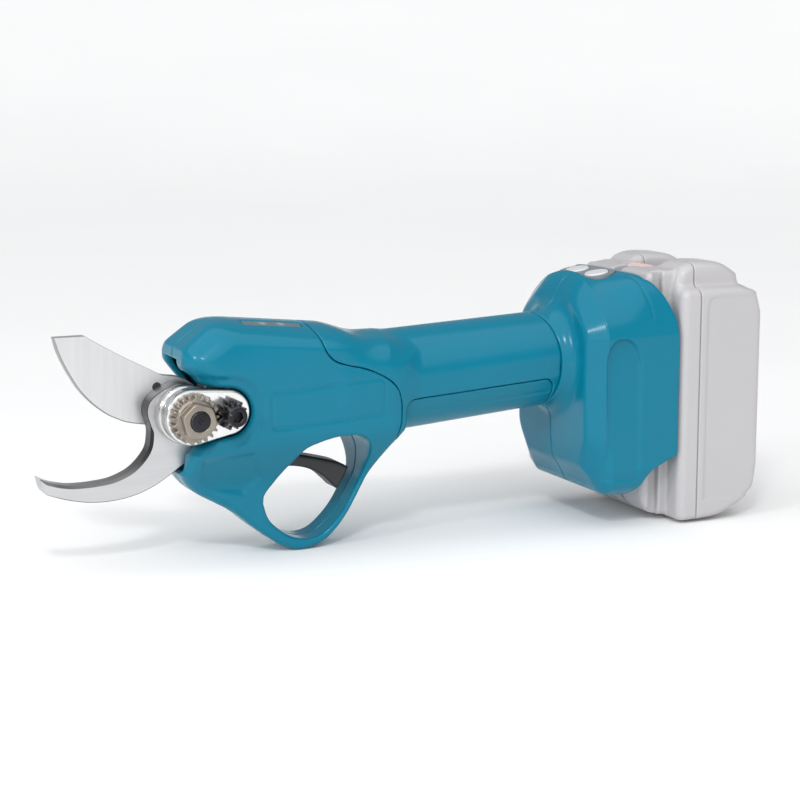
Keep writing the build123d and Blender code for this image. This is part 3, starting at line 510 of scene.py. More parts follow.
def dress_cad_nodes():
    """Every CAD node gets its slot's material; the buttons' deck is a paler mix."""
    slots = {row["node"]: row["material_slot"] for row in frame["record"]["subparts"]}
    for name, node in frame["nodes"].items():
        node.data.materials.clear()
        node.data.materials.append(DECK_GREY if name == "button_panel" else MATERIALS[slots[name]])


# ---- head, finger guard and handle ----
# Side views, as X and Z; each run is smooth between its corners.
HEAD_LINE = outline(
    [(-100.6, 84.5), (-99.7, 87.6), (-97.1, 90.2), (-88.0, 96.9), (-83.0, 99.6), (-78.0, 100.5)],
    [(-78.0, 100.5), (-36.9, 96.3)],
    [(-36.9, 96.3), (-31.5, 93.1), (-25.4, 89.2), (-20.0, 87.2), (-12.0, 86.5)],
    [(-12.0, 86.5), (-2.0, 80.0)],
    [(-2.0, 80.0), (-2.0, 52.0)],
    [(-2.0, 52.0), (-7.6, 46.2), (-11.6, 41.6), (-16.0, 34.0), (-20.2, 26.7), (-24.3, 19.4), (-28.4, 12.9),
     (-32.5, 7.9), (-37.4, 3.6), (-43.9, 0.9), (-50.3, 0.15)],
    [(-50.3, 0.15), (-57.5, 2.9), (-63.8, 7.3), (-70.0, 12.1), (-74.6, 16.0), (-79.2, 19.4), (-85.3, 23.0),
     (-92.2, 27.0), (-96.9, 30.8), (-101.2, 36.9)],
    [(-101.2, 36.9), (-99.6, 39.7), (-98.8, 46.2)],
    [(-98.8, 46.2), (-93.4, 51.6)],
    [(-93.4, 51.6), (-92.6, 60.0), (-93.0, 71.4)],
    [(-93.0, 71.4), (-97.7, 77.2)],
    [(-97.7, 77.2), (-100.2, 80.9), (-100.6, 84.5)],
)
TOP_LINE = (90.57, -0.1)         # height of the head's top at X = 0, and its slope
OPENING_LINE = outline(
    [(-65.0, 21.1), (-63.1, 15.2), (-60.1, 11.4), (-55.0, 7.4), (-49.9, 5.2), (-44.8, 4.6), (-39.6, 5.9),
     (-34.4, 9.8), (-29.1, 15.7), (-24.9, 22.7), (-21.2, 30.1), (-20.1, 38.5), (-21.8, 44.6), (-25.4, 48.2),
     (-31.0, 49.2), (-37.6, 48.9), (-45.0, 47.0), (-50.6, 44.2), (-55.8, 36.8), (-60.4, 29.9), (-64.4, 24.8),
     (-65.0, 21.1)],
)
SEAM_LINE = spread([
    (-50.0, 112.0), (-48.6, 98.4), (-45.8, 95.6), (-44.4, 92.4), (-42.7, 85.8), (-40.2, 82.1), (-36.8, 79.8),
    (-31.4, 78.1), (-27.0, 77.1), (-20.8, 74.9), (-14.1, 71.0), (-10.4, 66.7), (-8.5, 60.2), (-8.6, 53.4),
    (-10.0, 46.5), (-9.0, 41.0)])
SEAM_AREA = np.vstack([SEAM_LINE, [(0.0, 36.0), (0.0, -10.0), (-120.0, -10.0), (-120.0, 112.0)]])
BADGE_LINE = polygon([(-64.6, 69.0), (-18.4, 72.3), (-16.6, 70.6), (-16.6, 58.6), (-18.4, 57.2),
                      (-64.4, 54.4), (-65.8, 55.6), (-65.8, 67.4)])
CHEEK_LINE = outline([(-93.6, 43.6), (-93.0, 37.0), (-90.6, 32.4), (-86.4, 29.6)],
                     [(-86.4, 29.6), (-74.0, 26.8)], [(-74.0, 26.8), (-66.5, 33.0)],
                     [(-66.5, 33.0), (-72.0, 45.0)], [(-72.0, 45.0), (-93.6, 43.6)])


def along_handle(x, z):
    """Place along the handle's axis and height above it."""
    c, s = math.cos(HANDLE_RISE), math.sin(HANDLE_RISE)
    return x * c + (z - HANDLE_Z) * s, (z - HANDLE_Z) * c - x * s


def handle_form(x, y, z):
    """Round bar with two narrow flats low on each side and a fine line between them."""
    along, up = along_handle(x, z)
    radius = HANDLE_R[0] + (HANDLE_R[1] - HANDLE_R[0]) * along / RING_X
    side = np.abs(y) * HANDLE_OVAL
    bar = np.hypot(side, up) - radius
    for degrees, depth in HANDLE_FLATS:
        turn = math.radians(degrees)
        flank = side * math.cos(turn) - up * math.sin(turn) - radius + depth
        bar = meet(bar, flank, 0.4)
    reach = ease((along + 7.0) / 2.0) * ease((64.0 - along) / 2.0)
    lower_line = groove(up + 12.0, 0.5, 0.55) * reach
    return meet(bar + lower_line, slab(along, -34.0, RING_X + 8.0), 3.0)


def grip_gap(x, z):
    """Distance from the grip panel's edge, in the side view; negative inside the panel."""
    along, up = along_handle(x, z)
    return meet(slab(along, -6.6, 64.4), up + 5.9, 4.5)


def ring_joint(x, y, z):
    """Distance behind the joint of handle and rear housing, which sweeps back at the sides."""
    _, up = along_handle(x, z)
    side = np.sqrt(y * y + 4.0) - 2.0
    return x - RING_X - 0.24 * side - 0.5 * (1 - up / HANDLE_R[1])


def front_form(x, y, z):
    """Head, guard and handle as one solid, before openings."""
    half = GUARD_HALF + (HEAD_HALF - GUARD_HALF) * ease((z - 27.0) / 25.0)
    half = half - 3.2 * ease((-30.0 - x) / 60.0) * ease((z - 78.0) / 24.0)
    opening = flat(OPENING_LINE, x, z)
    strap = np.clip(0.35 + 0.3 * opening, 0.6, 4.5)
    rounding = strap + (10.5 - strap) * ease((z - 44.0) / 16.0)
    head = meet(flat(HEAD_LINE, x, z), np.abs(y) - half, rounding)
    crown = z - TOP_LINE[0] - TOP_LINE[1] * x + 0.0145 * y * y
    head = meet(head, crown, 3.0)
    body = join(head, handle_form(x, y, z), 6.0)
    body = body + CHEEK_DEPTH * ease(0.5 - flat(CHEEK_LINE, x, z) / 3.4)
    dish = ease((5.6 - teardrop(x, z, *SOCKET_R)) / 2.6) * ease((x - PIVOT.x + 12.0) / 8.0)
    body = body + DISH_DEPTH * dish * (y < 0)
    body = body + groove(np.abs(flat(BADGE_LINE, x, z)), 0.5, 0.45) * (y < 0)
    return cut(body, opening, 1.3)


def link_room(x, y, z):
    """Path of the link's front eye while the blade closes."""
    quarter = np.maximum(CLOSED_PIN.x - x, PIVOT.z - z)
    quarter = np.maximum(disc(x, z, PIVOT, LINK_ARM + EYE_ROOM), quarter)
    path = np.minimum(quarter, disc(x, z, CLOSED_PIN, EYE_ROOM))
    return np.maximum(path, slab(y, LINK_Y[0] - 0.5, LINK_Y[1] + 0.5))


def head_openings(x, y, z):
    """Room for the blades, the link, the steel block, the bolt head and the trigger."""
    blades = meet(slab(y, *BLADE_SLOT_Y), slab(x, -130.0, -82.0), 0.5)
    blades = meet(blades, slab(z, *BLADE_SLOT_Z), 0.5)
    socket = np.maximum(teardrop(x, z, *SOCKET_R), slab(y, -40.0, -8.0))
    front = np.maximum(slab(x, -130.0, PIVOT.x), slab(z, PIVOT.z - 14.2, PIVOT.z + 14.0))
    front = np.maximum(front, slab(y, -40.0, 0.0))
    bolt = np.maximum(disc(x, z, PIVOT, 9.8), slab(y, 4.0, 40.0))
    room = np.minimum(np.minimum(blades, bolt), join(socket, front, 2.0))
    room = np.minimum(room, link_room(x, y, z))
    lever = np.maximum(slab(y, -6.9, 6.9), slab(x, -69.0, -42.0))
    return np.minimum(room, np.maximum(lever, slab(z, 33.8, 53.0)))


def indicator_area(x, y, z):
    """Rounded outline of the indicator window, and everything above the head's hollow."""
    low_x, high_x = span("indicator_window", 0)
    low_y, high_y = span("indicator_window", 1)
    area = meet(slab(x, low_x, high_x), slab(y, low_y, high_y), 1.3)
    return np.maximum(area, 93.0 - z)


def indicator_form(x, y, z):
    """Window flush with the head's crowned top, sunk a little."""
    window = meet(front_form(x, y, z) + 0.25, indicator_area(x, y, z) + 0.3, 0.2)
    return np.maximum(window, -2.4 - front_form(x, y, z))


def hollow(form, area, wall=WALL):
    """Inside of a moulding, kept to part of it."""
    return meet(form + wall, area, 1.5)


def head_form(side):
    def form(x, y, z):
        body = front_form(x, y, z)
        area = np.maximum(slab(x, -97.0, 30.0), slab(z, 52.5, 120.0))
        inside = hollow(body, np.maximum(area, np.abs(y) - 19.2))
        body = cut(body, head_openings(x, y, z), 1.8)
        body = cut(np.maximum(body, -inside), indicator_area(x, y, z), 0.25)
        seam = flat(SEAM_AREA, x, z)
        body = body + groove(seam + 1.7, 0.14, 0.4) * ease((82.0 - z) / 4.0)
        body = meet(body, seam + SEAM_GAP, 0.45)
        return meet(body, SEAM_GAP - side * y, 0.2)
    return form


def handle_shell_form(side):
    def form(x, y, z):
        body = front_form(x, y, z)
        inside = hollow(body, np.full(body.shape, -9.0))
        body = np.maximum(body, -inside)
        window = np.maximum(grip_gap(x, z) - SEAM_GAP, -under_grip(x, y, z))
        body = cut(body, window, 0.4)
        body = meet(body, SEAM_GAP - flat(SEAM_AREA, x, z), 0.45)
        body = meet(body, ring_joint(x, y, z) + SEAM_GAP, 0.3)
        return meet(body, SEAM_GAP - side * y, 0.2)
    return form


def under_grip(x, y, z):
    """The skin's inner side under the grip panel."""
    return handle_form(x, y, z) + 1.4


def grip_form(x, y, z):
    panel = meet(handle_form(x, y, z) + 0.05, grip_gap(x, z) + SEAM_GAP, 0.4)
    panel = meet(panel, ring_joint(x, y, z) + SEAM_GAP, 0.5)
    return np.maximum(panel, 0.1 - under_grip(x, y, z))


def build_front():
    for side, name in ((-1, "left"), (1, "right")):
        near, far = sorted((-side * 0.5, side * 24.5))
        cover = moulding(f"head_cover_skin_{name}", head_form(side), (-104.0, near, -1.5),
                         (-4.0, far, 103.0), "housing", "teal_shell")
        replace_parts(cover, f"head_cover_{name}")
        shell = moulding(f"handle_skin_{name}", handle_shell_form(side), (-50.0, near, 42.0),
                         (71.0, far, 101.0), "housing", "teal_shell")
        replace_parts(shell, f"handle_shell_{name}")
    grip = moulding("grip_skin", grip_form, (-9.0, -24.0, 43.0), (71.0, 24.0, 70.0), "housing", "teal_grip")
    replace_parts(grip, "grip_panel")
    window = moulding("indicator_lens", indicator_form, (-76.0, -12.0, 92.0), (-45.0, -4.0, 101.0),
                      "housing", "smoke_window", FINE)
    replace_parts(window, "indicator_window")


# ---- rear housing ----
HOUSING_LINE = outline(
    [(74.6, 30.0), (73.9, 38.0), (73.4, 60.0)],
    [(73.4, 60.0), (73.4, 90.0)],
    [(73.4, 90.0), (74.2, 97.0), (76.6, 102.6), (79.2, 106.4), (82.4, 109.6)],
    [(82.4, 109.6), (90.0, 110.6), (97.0, 110.7), (102.6, 109.6)],
    [(102.6, 109.6), (105.2, 107.3), (107.9, 104.2), (110.8, 100.2), (113.6, 95.0), (115.5, 90.6),
     (116.5, 83.0)],
    [(116.5, 83.0), (116.5, 31.2)],
    [(116.5, 31.2), (106.6, 26.8), (103.2, 24.3), (100.7, 21.0), (98.6, 16.6), (96.4, 14.4),
     (93.0, 13.8)],
    [(93.0, 13.8), (84.0, 15.2), (79.2, 17.6), (76.4, 21.4), (74.6, 30.0)],
)
# Half of the housing's front view at its front and at its rear, as Y and Z; and its side channel.
FRONT_ARCH = [(0.0, 110.9), (7.0, 109.6), (15.0, 106.8), (22.0, 103.0), (30.0, 97.0), (35.0, 90.6)]
REAR_ARCH = [(0.0, 110.9), (18.0, 110.4), (26.6, 108.4), (31.2, 104.8), (34.0, 98.4), (35.8, 91.0)]
CHANNEL_LINE = outline(
    [(80.6, 22.0), (80.6, 70.0), (81.4, 78.0), (84.6, 82.6), (90.0, 83.2), (94.4, 80.0), (96.8, 73.6)],
    [(96.8, 73.6), (97.0, 22.0)],
    [(97.0, 22.0), (80.6, 22.0)],
)
# A fine groove that runs down from the top, in the side view.
PAD_LINE = spread([(94.6, 111.2), (98.8, 108.0), (100.6, 102.4), (102.6, 96.6), (103.4, 92.0)])


def arch(points):
    """Front view of the housing: flat sides, an arched top given for one side, and a chamfered foot."""
    right = [*points, (HOUSING_HALF, 84.0)]
    left = [(-y, z) for y, z in right[::-1]]
    foot = [(HOUSING_HALF, 26.0), (34.6, 18.6), (28.0, 13.6)]
    mirrored = [(-y, z) for y, z in foot[::-1]]
    return outline(left[:-1] + right, [right[-1], foot[0]], foot, [foot[-1], mirrored[0]], mirrored,
                   [mirrored[-1], left[0]])


def on_button_slope(x, z):
    """Place along the buttons' sloping face and height above it."""
    c, s = math.cos(BUTTON_SLOPE), math.sin(BUTTON_SLOPE)
    return (x - BUTTONS.x) * c + (z - BUTTONS.z) * s, (z - BUTTONS.z) * c - (x - BUTTONS.x) * s


def button_well(x, y, z):
    """Oval well round the two push buttons."""
    along, up = on_button_slope(x, z)
    oval = np.hypot(along, np.maximum(np.abs(y) - 9.6, 0)) - 7.6
    return np.maximum(oval, -3.0 - up)


def housing_form(x, y, z):
    """Rear housing as one solid, with its neck flaring out of the handle."""
    flare = ease((x - 80.0) / 22.0)
    section = flat(arch(FRONT_ARCH), y, z) * (1 - flare) + flat(arch(REAR_ARCH), y, z) * flare
    shoulder = 1.1 * np.clip(80.5 - x, 0, 9)
    low_corner = 1.5 * np.clip(84.0 - x, 0, 10) * ease((42.0 - z) / 27.0)
    block = meet(flat(HOUSING_LINE, x, z), section + shoulder + low_corner, 1.3)
    along, up = along_handle(x, z)
    neck = np.hypot(np.abs(y) * HANDLE_OVAL, up) - HANDLE_R[1] - 0.1
    neck = meet(neck, slab(along, RING_X - 4.0, RING_X + 22.0), 0.6)
    body = join(block, neck, 7.0)
    channel = ease(0.5 - flat(CHANNEL_LINE, x, z) / 1.8)
    body = body + (0.8 + 1.3 * ease((z - 30.0) / 50.0)) * channel
    return body + groove(gap_to(PAD_LINE, x, z), 0.45, 0.5) * ease((np.abs(y) - 12.0) / 6.0)


def battery_room(x, y, z):
    """Space of the slide block and of the rails at its sides."""
    room = np.maximum(slab(y, -27.5, 27.5), slab(x, 103.2, 140.0))
    rail = np.maximum(slab(np.abs(y), 24.2, 30.0), slab(x, 109.0, 112.6))
    rail = np.maximum(rail, slab(z, 24.0, 88.0))
    return np.maximum(room, -rail)


def housing_shell_form(side):
    def form(x, y, z):
        body = housing_form(x, y, z)
        inside = hollow(body, slab(x, RING_X - 8.0, 100.6))
        along, up = along_handle(x, z)
        mouth = np.maximum(np.hypot(y, up) - 17.0, slab(along, RING_X - 8.0, RING_X + 12.0))
        body = np.maximum(body, -join(inside, mouth, 2.0))
        body = cut(body, battery_room(x, y, z), 0.6)
        body = cut(body, button_well(x, y, z), 0.5)
        terminals = np.maximum(np.maximum(slab(y, -16, 16), slab(z, 36, 62)), slab(x, 96.0, 110.0))
        body = np.maximum(body, -terminals)
        body = meet(body, SEAM_GAP - ring_joint(x, y, z), 0.3)
        return meet(body, SEAM_GAP - side * y, 0.2)
    return form


def build_housing():
    for side, name in ((-1, "left"), (1, "right")):
        near, far = sorted((-side * 0.5, side * 39.0))
        shell = moulding(f"battery_housing_skin_{name}", housing_shell_form(side),
                         (RING_X - 1.5, near, 12.0), (118.5, far, 112.5), "housing", "teal_shell")
        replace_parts(shell, f"battery_housing_{name}")


# ---- battery ----
CASE_FRONT = 117.3
CASE_SEAM = 126.5
CASE_BACK = BATTERY_X[1] - 0.3
CASE_LINE = outline(
    [(CASE_FRONT, 5.0), (CASE_FRONT, 97.0)],
    [(CASE_FRONT, 97.0), (118.2, 106.0), (120.6, 111.4), (125.4, 114.6), (131.0, 115.4)],
    [(131.0, 115.4), (140.5, 113.9), (149.4, 108.4)],
    [(149.4, 108.4), (150.4, 104.0)],
    [(150.4, 104.0), (156.2, 100.6), (CASE_BACK, 92.0)],
    [(CASE_BACK, 92.0), (CASE_BACK, 24.0)],
    [(CASE_BACK, 24.0), (157.2, 13.0), (150.0, 6.6)],
    [(150.0, 6.6), (138.0, 1.6), (128.0, 0.1)],
    [(128.0, 0.1), (120.0, 0.1)],
    [(120.0, 0.1), (118.0, 1.6), (CASE_FRONT, 5.0)],
)
SLIDE_LINE = outline(
    [(122.0, 2.2), (122.0, 111.0)],
    [(122.0, 111.0), (108.8, 110.4), (105.4, 108.0), (104.1, 102.0)],
    [(104.1, 102.0), (104.1, 14.0)],
    [(104.1, 14.0), (105.4, 8.4), (109.4, 4.2), (115.0, 2.6), (122.0, 2.2)],
)
# Raised border of the case's sides: what lies inside this line is sunk a little.
PANEL_LINE = outline(
    [(130.0, 10.0), (130.0, 94.0)],
    [(130.0, 94.0), (131.2, 98.4), (134.6, 99.6)],
    [(134.6, 99.6), (170.0, 99.6)],
    [(170.0, 99.6), (170.0, 10.0)],
    [(170.0, 10.0), (130.0, 10.0)],
)


def shoulder_section(y, z):
    """Front view of the case: a broad body with two shoulders and a valley between them."""
    body = meet(np.abs(y) - BATTERY_HALF + 0.1, z - 103.4, 4.0)
    shoulder = meet(slab(np.abs(y), 9.4, 31.0), z - 115.4, 5.5)
    return join(body, shoulder, 2.5)


def battery_form(x, y, z):
    section = shoulder_section(y, z)
    section = meet(section, 0.1 - z, 4.0)
    case = meet(flat(CASE_LINE, x, z), section, 3.6)
    slide = meet(flat(SLIDE_LINE, x, z), np.abs(y) - 26.9, 2.4)
    track = np.maximum(slab(np.abs(y), 23.7, 40.0), slab(x, 108.5, 113.1))
    slide = cut(slide, track, 0.6)
    body = join(case, slide, 1.2)
    panel = ease(0.5 - flat(PANEL_LINE, x, z) / 1.2)
    return body + 0.5 * panel * ease((np.abs(y) - 30.0) / 3.0)


def battery_openings(x, y, z):
    """Wells of the release button and of the contacts."""
    bay = np.maximum(slab(x, 113.9, 124.1), slab(y, -8.7, 8.7))
    bay = np.maximum(bay, slab(z, 100.2, 130.0))
    latch = np.maximum(slab(x, 104.0, 117.5), slab(y, -3.3, 3.3))
    latch = np.maximum(latch, slab(z, 100.2, 115.0))
    slots = np.minimum(slab(y, -1.4, 1.4), slab(np.abs(y), 7.6, 10.4))
    slots = np.maximum(np.maximum(slots, slab(z, -9.0, 60.0)), slab(x, 90.0, 111.5))
    return np.minimum(np.minimum(bay, latch), slots)


def battery_case_form(front):
    def form(x, y, z):
        body = battery_form(x, y, z)
        core = np.maximum(slab(x, 119.6, 157.0), slab(z, 9.8, 100.0))
        body = np.maximum(body, -hollow(body, core, 3.0))
        body = cut(body, battery_openings(x, y, z), 0.5)
        return meet(body, (x - CASE_SEAM if front else CASE_SEAM - x) + SEAM_GAP, 0.25)
    return form


def release_button_form(x, y, z):
    low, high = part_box("battery_release_button")
    low, high = low / MM, high / MM
    key = meet(slab(x, low.x, high.x), slab(y, low.y, high.y), 1.0)
    top = z - (high.z - 0.6 - 0.32 * np.abs(x - high.x + 1.0))
    ribs = 0.35 * np.cos((y + 0.5 * x) * 2 * math.pi / 3.2)
    return meet(key, np.maximum(top + ribs, low.z - z), 0.8)


def build_battery():
    front = moulding("battery_case_skin_front", battery_case_form(True), (103.0, -38.5, -1.0),
                     (127.5, 38.5, 116.5), "battery", "battery_grey")
    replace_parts(front, "battery_case_front")
    rear = moulding("battery_case_skin_rear", battery_case_form(False), (125.5, -38.5, -1.0),
                    (160.0, 38.5, 116.5), "battery", "battery_grey")
    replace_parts(rear, "battery_case_rear")
    key = moulding("release_button_cap", release_button_form, *around("battery_release_button", 1),
                   "battery_key", "battery_button", FINE)
    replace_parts(key, "battery_release_button")


# ---- blades ----
# Outlines of the blades in the side view, and the axis of the rubber stop.
CUTTING_BACK = [(-148.5, 93.9), (-136.1, 93.9), (-132.2, 91.4), (-125.3, 87.3), (-118.3, 83.4),
                (-111.2, 79.7), (-105.0, 76.4)]
CUTTING_EDGE = [(-110.0, 56.2), (-118.9, 57.9), (-123.6, 59.7), (-128.3, 62.2), (-133.8, 66.7),
                (-138.3, 71.7), (-141.4, 76.5), (-144.5, 82.2), (-147.1, 88.3), (-148.5, 93.9)]
HOOK_INNER = [(-158.0, 40.1), (-154.3, 38.1), (-150.2, 36.8), (-145.6, 35.9), (-141.0, 35.7), (-136.4, 35.8),
              (-129.3, 36.5), (-123.6, 38.3), (-119.3, 40.7), (-115.4, 44.5), (-112.9, 48.6), (-112.1, 54.3),
              (-112.6, 57.8)]
HOOK_OUTER = [(-95.0, 43.0), (-100.2, 40.0), (-105.5, 36.4), (-111.4, 33.0), (-117.6, 30.5), (-124.8, 28.9),
              (-131.9, 28.4), (-138.9, 28.8), (-145.8, 30.2), (-151.3, 31.9), (-155.6, 33.6), (-157.2, 36.2),
              (-158.0, 40.1)]
STOP = Vector((-107.0, 0.0, 71.6))


def swept(line, run):
    """Which outline points lie on a run, as 0 to 1, fading at its ends."""
    curve = spread(run)
    gaps = np.array([np.min(np.hypot(*(curve - p).T)) for p in line])
    ends = np.array([min(np.hypot(*(curve[0] - p)), np.hypot(*(curve[-1] - p))) for p in line])
    return np.where(gaps < 0.05, ease(ends / 4.0), 0.0)


def cutting_blade():
    root = [(-105.0, 76.4), (-95.0, 74.0), (-87.0, 66.0), (-87.5, 56.0), (-95.0, 49.8), (-104.0, 50.4),
            (-110.0, 56.2)]
    line = outline(CUTTING_BACK[:2], CUTTING_BACK[1:], root, CUTTING_EDGE)
    low, high = span("cutting_blade", 1)
    edge = swept(line, CUTTING_EDGE)
    bevel = 0.15 + 0.3 * edge
    return plate("cutting_blade_ground", line, low, high, bevel, bevel, "blade", "blade_steel")


def hook_blade():
    crown = [(-112.6, 57.8), (-113.8, 62.0), (-113.2, 66.0), (-110.4, 69.4), (-105.0, 72.4), (-98.8, 73.8),
             (-90.0, 70.5)]
    line = outline(HOOK_INNER, crown, [(-90.0, 70.5), (-86.5, 58.0)], [(-86.5, 58.0), (-84.0, 44.0)],
                   [(-84.0, 44.0), (-95.0, 43.0)], HOOK_OUTER)
    low, high = span("fixed_blade", 1)
    edge = swept(line, HOOK_INNER)
    return plate("hook_blade_ground", line, low, high, 0.3 + 0.7 * edge, 0.3 + 1.4 * edge, "housing",
                 "blade_steel", HOOK_STEEL)


def rubber_stop_form(x, y, z):
    low, high = span("cutting_blade", 1)
    return meet(disc(x, z, STOP, 2.1), slab(y, low - 0.06, high + 0.5), 0.05)


def build_blades():
    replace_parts(cutting_blade(), "cutting_blade")
    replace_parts(hook_blade(), "fixed_blade")
    stop = moulding("rubber_stop", rubber_stop_form, (STOP.x - 3, -1.0, STOP.z - 3),
                    (STOP.x + 3, 6.0, STOP.z + 3), "blade", "black_rubber", FINE)
    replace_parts(stop, "blade_bumper")


# ---- pivot block, nut and lock ----
def gear_line(teeth, phase):
    """Toothed outline about the origin, one tooth centred on angle phase, in radians."""
    pitch_r = GEAR_MODULE * teeth / 2
    root_r, tip_r = pitch_r - 1.25 * GEAR_MODULE, pitch_r + 0.9 * GEAR_MODULE
    step = 2 * math.pi / teeth
    half = 0.23 * step
    slope = 0.36 * GEAR_MODULE / pitch_r
    tooth = ((root_r, -half - slope), (tip_r, slope - half),
             (tip_r, half - slope), (root_r, half + slope))
    points = []
    for k in range(teeth):
        angle = phase + k * step
        points += [(r * math.cos(angle + a), r * math.sin(angle + a)) for r, a in tooth]
    return np.array(points)


def hexagon(x, z, at, half_flat, turn):
    """Distance to a six-sided bar along Y."""
    far = np.full(np.broadcast_shapes(np.shape(x), np.shape(z)), -1e9)
    for k in range(6):
        a = turn + k * math.pi / 3
        far = np.maximum(far, (x - at.x) * math.cos(a) + (z - at.z) * math.sin(a) - half_flat)
    return far


def block_form(x, y, z):
    """Steel block that carries the pivot: teardrop plate, neck and collar."""
    top = meet(teardrop(x, z, *PLATE_R), slab(y, *PLATE_Y), 1.1)
    neck = np.maximum(teardrop(x, z, *NECK_R), slab(y, PLATE_Y[1] - 1, BLOCK_Y[0] + 4.5))
    collar = meet(disc(x, z, PIVOT, 12.0), slab(y, BLOCK_Y[0] + 4.4, BLOCK_Y[1] - 0.05), 0.9)
    body = join(join(top, neck, 0.5), collar, 0.8)
    body = np.maximum(body, -disc(x, z, PIVOT, 4.1))
    return np.maximum(body, -disc(x, z, PINION, 2.6))


def nut_form(x, y, z):
    """Toothed ring, flange and hexagon head in one."""
    teeth = flat(gear_line(NUT_TEETH, TO_PINION), x - PIVOT.x, z - PIVOT.z)
    cone = disc(x, z, PIVOT, 10.6) + 0.45 * np.maximum(NUT_Y[1] - 2.4 - y, 0)
    ring = meet(np.maximum(teeth, cone), slab(y, NUT_Y[1] - 4.2, NUT_Y[1]), 0.3)
    head = meet(hexagon(x, z, PIVOT, NUT_HALF_FLAT, 0.25), slab(y, NUT_Y[0], NUT_Y[1] - 3.5), 0.3)
    dome = disc(x, z, PIVOT, 7.1) + 0.6 * (NUT_Y[0] + 0.6 - y)
    head = meet(head, dome, 0.25)
    flange = meet(disc(x, z, PIVOT, 7.9), slab(y, NUT_Y[1] - 4.8, NUT_Y[1] - 3.5), 0.4)
    body = np.minimum(np.minimum(ring, head), flange)
    return cut(body, disc(x, z, PIVOT, 4.05), 0.4)


def pinion_form(x, y, z):
    """Small toothed wheel; a gap between its teeth faces the nut's tooth."""
    first_tooth = TO_PINION + math.pi + math.pi / PINION_TEETH
    teeth = flat(gear_line(PINION_TEETH, first_tooth), x - PINION.x, z - PINION.z)
    wheel = meet(teeth, slab(y, *span("lock_pinion", 1)), 0.35)
    return cut(wheel, disc(x, z, PINION, 2.55), 0.2)


def lock_bolt_form(x, y, z):
    low = span("lock_bolt", 1)[0]
    head = meet(disc(x, z, PINION, LOCK_HEAD_R), slab(y, low, PLATE_Y[0] - 5.45), 0.5)
    head = cut(head, np.maximum(hexagon(x, z, PINION, 2.0, 0.3), y - low - 3.0), 0.25)
    shank = np.maximum(disc(x, z, PINION, LOCK_R), slab(y, PLATE_Y[0] - 6.0, PLATE_Y[0] + 7.0))
    return np.minimum(head, shank)


def pivot_bolt_form(x, y, z):
    shank = meet(disc(x, z, PIVOT, BOLT_R), slab(y, BOLT_Y[0], 6.6), 0.6)
    shank = cut(shank, np.maximum(disc(x, z, PIVOT, 0.9), y - BOLT_Y[0] - 0.6), 0.2)
    head = meet(disc(x, z, PIVOT, BOLT_HEAD_R), slab(y, 6.4, BOLT_Y[1]), 1.0)
    head = cut(head, np.maximum(hexagon(x, z, PIVOT, 2.5, 0.0), 7.9 - y), 0.3)
    return np.minimum(shank, head)


def build_pivot():
    def add(name, form, node, body, slot):
        piece = moulding(name, form, *around(node, 1), body, slot, FINE)
        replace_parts(piece, node)

    block = moulding("pivot_block", block_form, (PIVOT.x - 13, PLATE_Y[0] - 1, PIVOT.z - 13),
                     (PINION.x + 11, BLOCK_Y[1] + 1, PIVOT.z + 13), "housing", "polished_steel", FINE)
    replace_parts(block, "gear_plate", "pivot_boss")
    add("toothed_nut", nut_form, "pivot_nut", "lock_nut", "bronze_nut")
    add("toothed_pinion", pinion_form, "lock_pinion", "lock_wheel", "black_steel")
    add("lock_socket_screw", lock_bolt_form, "lock_bolt", "housing", "black_steel")
    add("pivot_bolt_m8", pivot_bolt_form, "pivot_bolt", "housing", "black_steel")


# ---- trigger ----
TRIGGER_LINE = outline(
    [(-66.5, 43.5), (-57.0, 43.0), (-51.4, 40.8), (-43.7, 38.9), (-35.9, 36.9), (-30.3, 35.2),
     (-25.8, 32.8)],
    [(-25.8, 32.8), (-28.3, 28.0), (-31.2, 23.8)],
    [(-31.2, 23.8), (-34.8, 27.4), (-38.6, 30.7), (-43.7, 33.4), (-49.0, 34.8), (-55.0, 35.4),
     (-65.5, 36.4)],
    [(-65.5, 36.4), (-67.4, 40.0), (-66.5, 43.5)],
)


def trigger_form(x, y, z):
    half = 6.2 - 0.9 * ease((-36.0 - x) / 14.0) * ease((x + 62.0) / 8.0)
    lever = meet(flat(TRIGGER_LINE, x, z), np.abs(y) - half, 1.5)
    thumb = np.exp(-(((x + 44.0) / 9.0) ** 2)) * ease((36.5 - z) / 4.0)
    lever = lever + 0.5 * thumb * ease(1 - np.abs(y) / 5.0)
    return cut(lever, disc(x, z, TRIGGER, 1.56), 0.3)


def coil_spring(low, high, wire, turns, turn_steps=24, sides=8):
    """Points and faces of a round wire wound about +Z inside a box."""
    centre_x, centre_y = (low[0] + high[0]) / 2, (low[1] + high[1]) / 2
    radius = (high[0] - low[0]) / 2 - wire
    steps = turns * turn_steps
    points, faces = [], []
    for k in range(steps + 1):
        turn = 2 * math.pi * k / turn_steps
        height = low[2] + wire + (high[2] - low[2] - 2 * wire) * k / steps
        for j in range(sides):
            around = 2 * math.pi * j / sides
            reach = radius + wire * math.cos(around)
            points.append((centre_x + reach * math.cos(turn), centre_y + reach * math.sin(turn),
                           height + wire * math.sin(around)))
    for k in range(steps):
        for j in range(sides):
            a, b = k * sides + j, k * sides + (j + 1) % sides
            faces.append((a, a + sides, b + sides, b))
    faces += [tuple(range(sides)), tuple(range(len(points) - 1, len(points) - 1 - sides, -1))]
    return points, faces


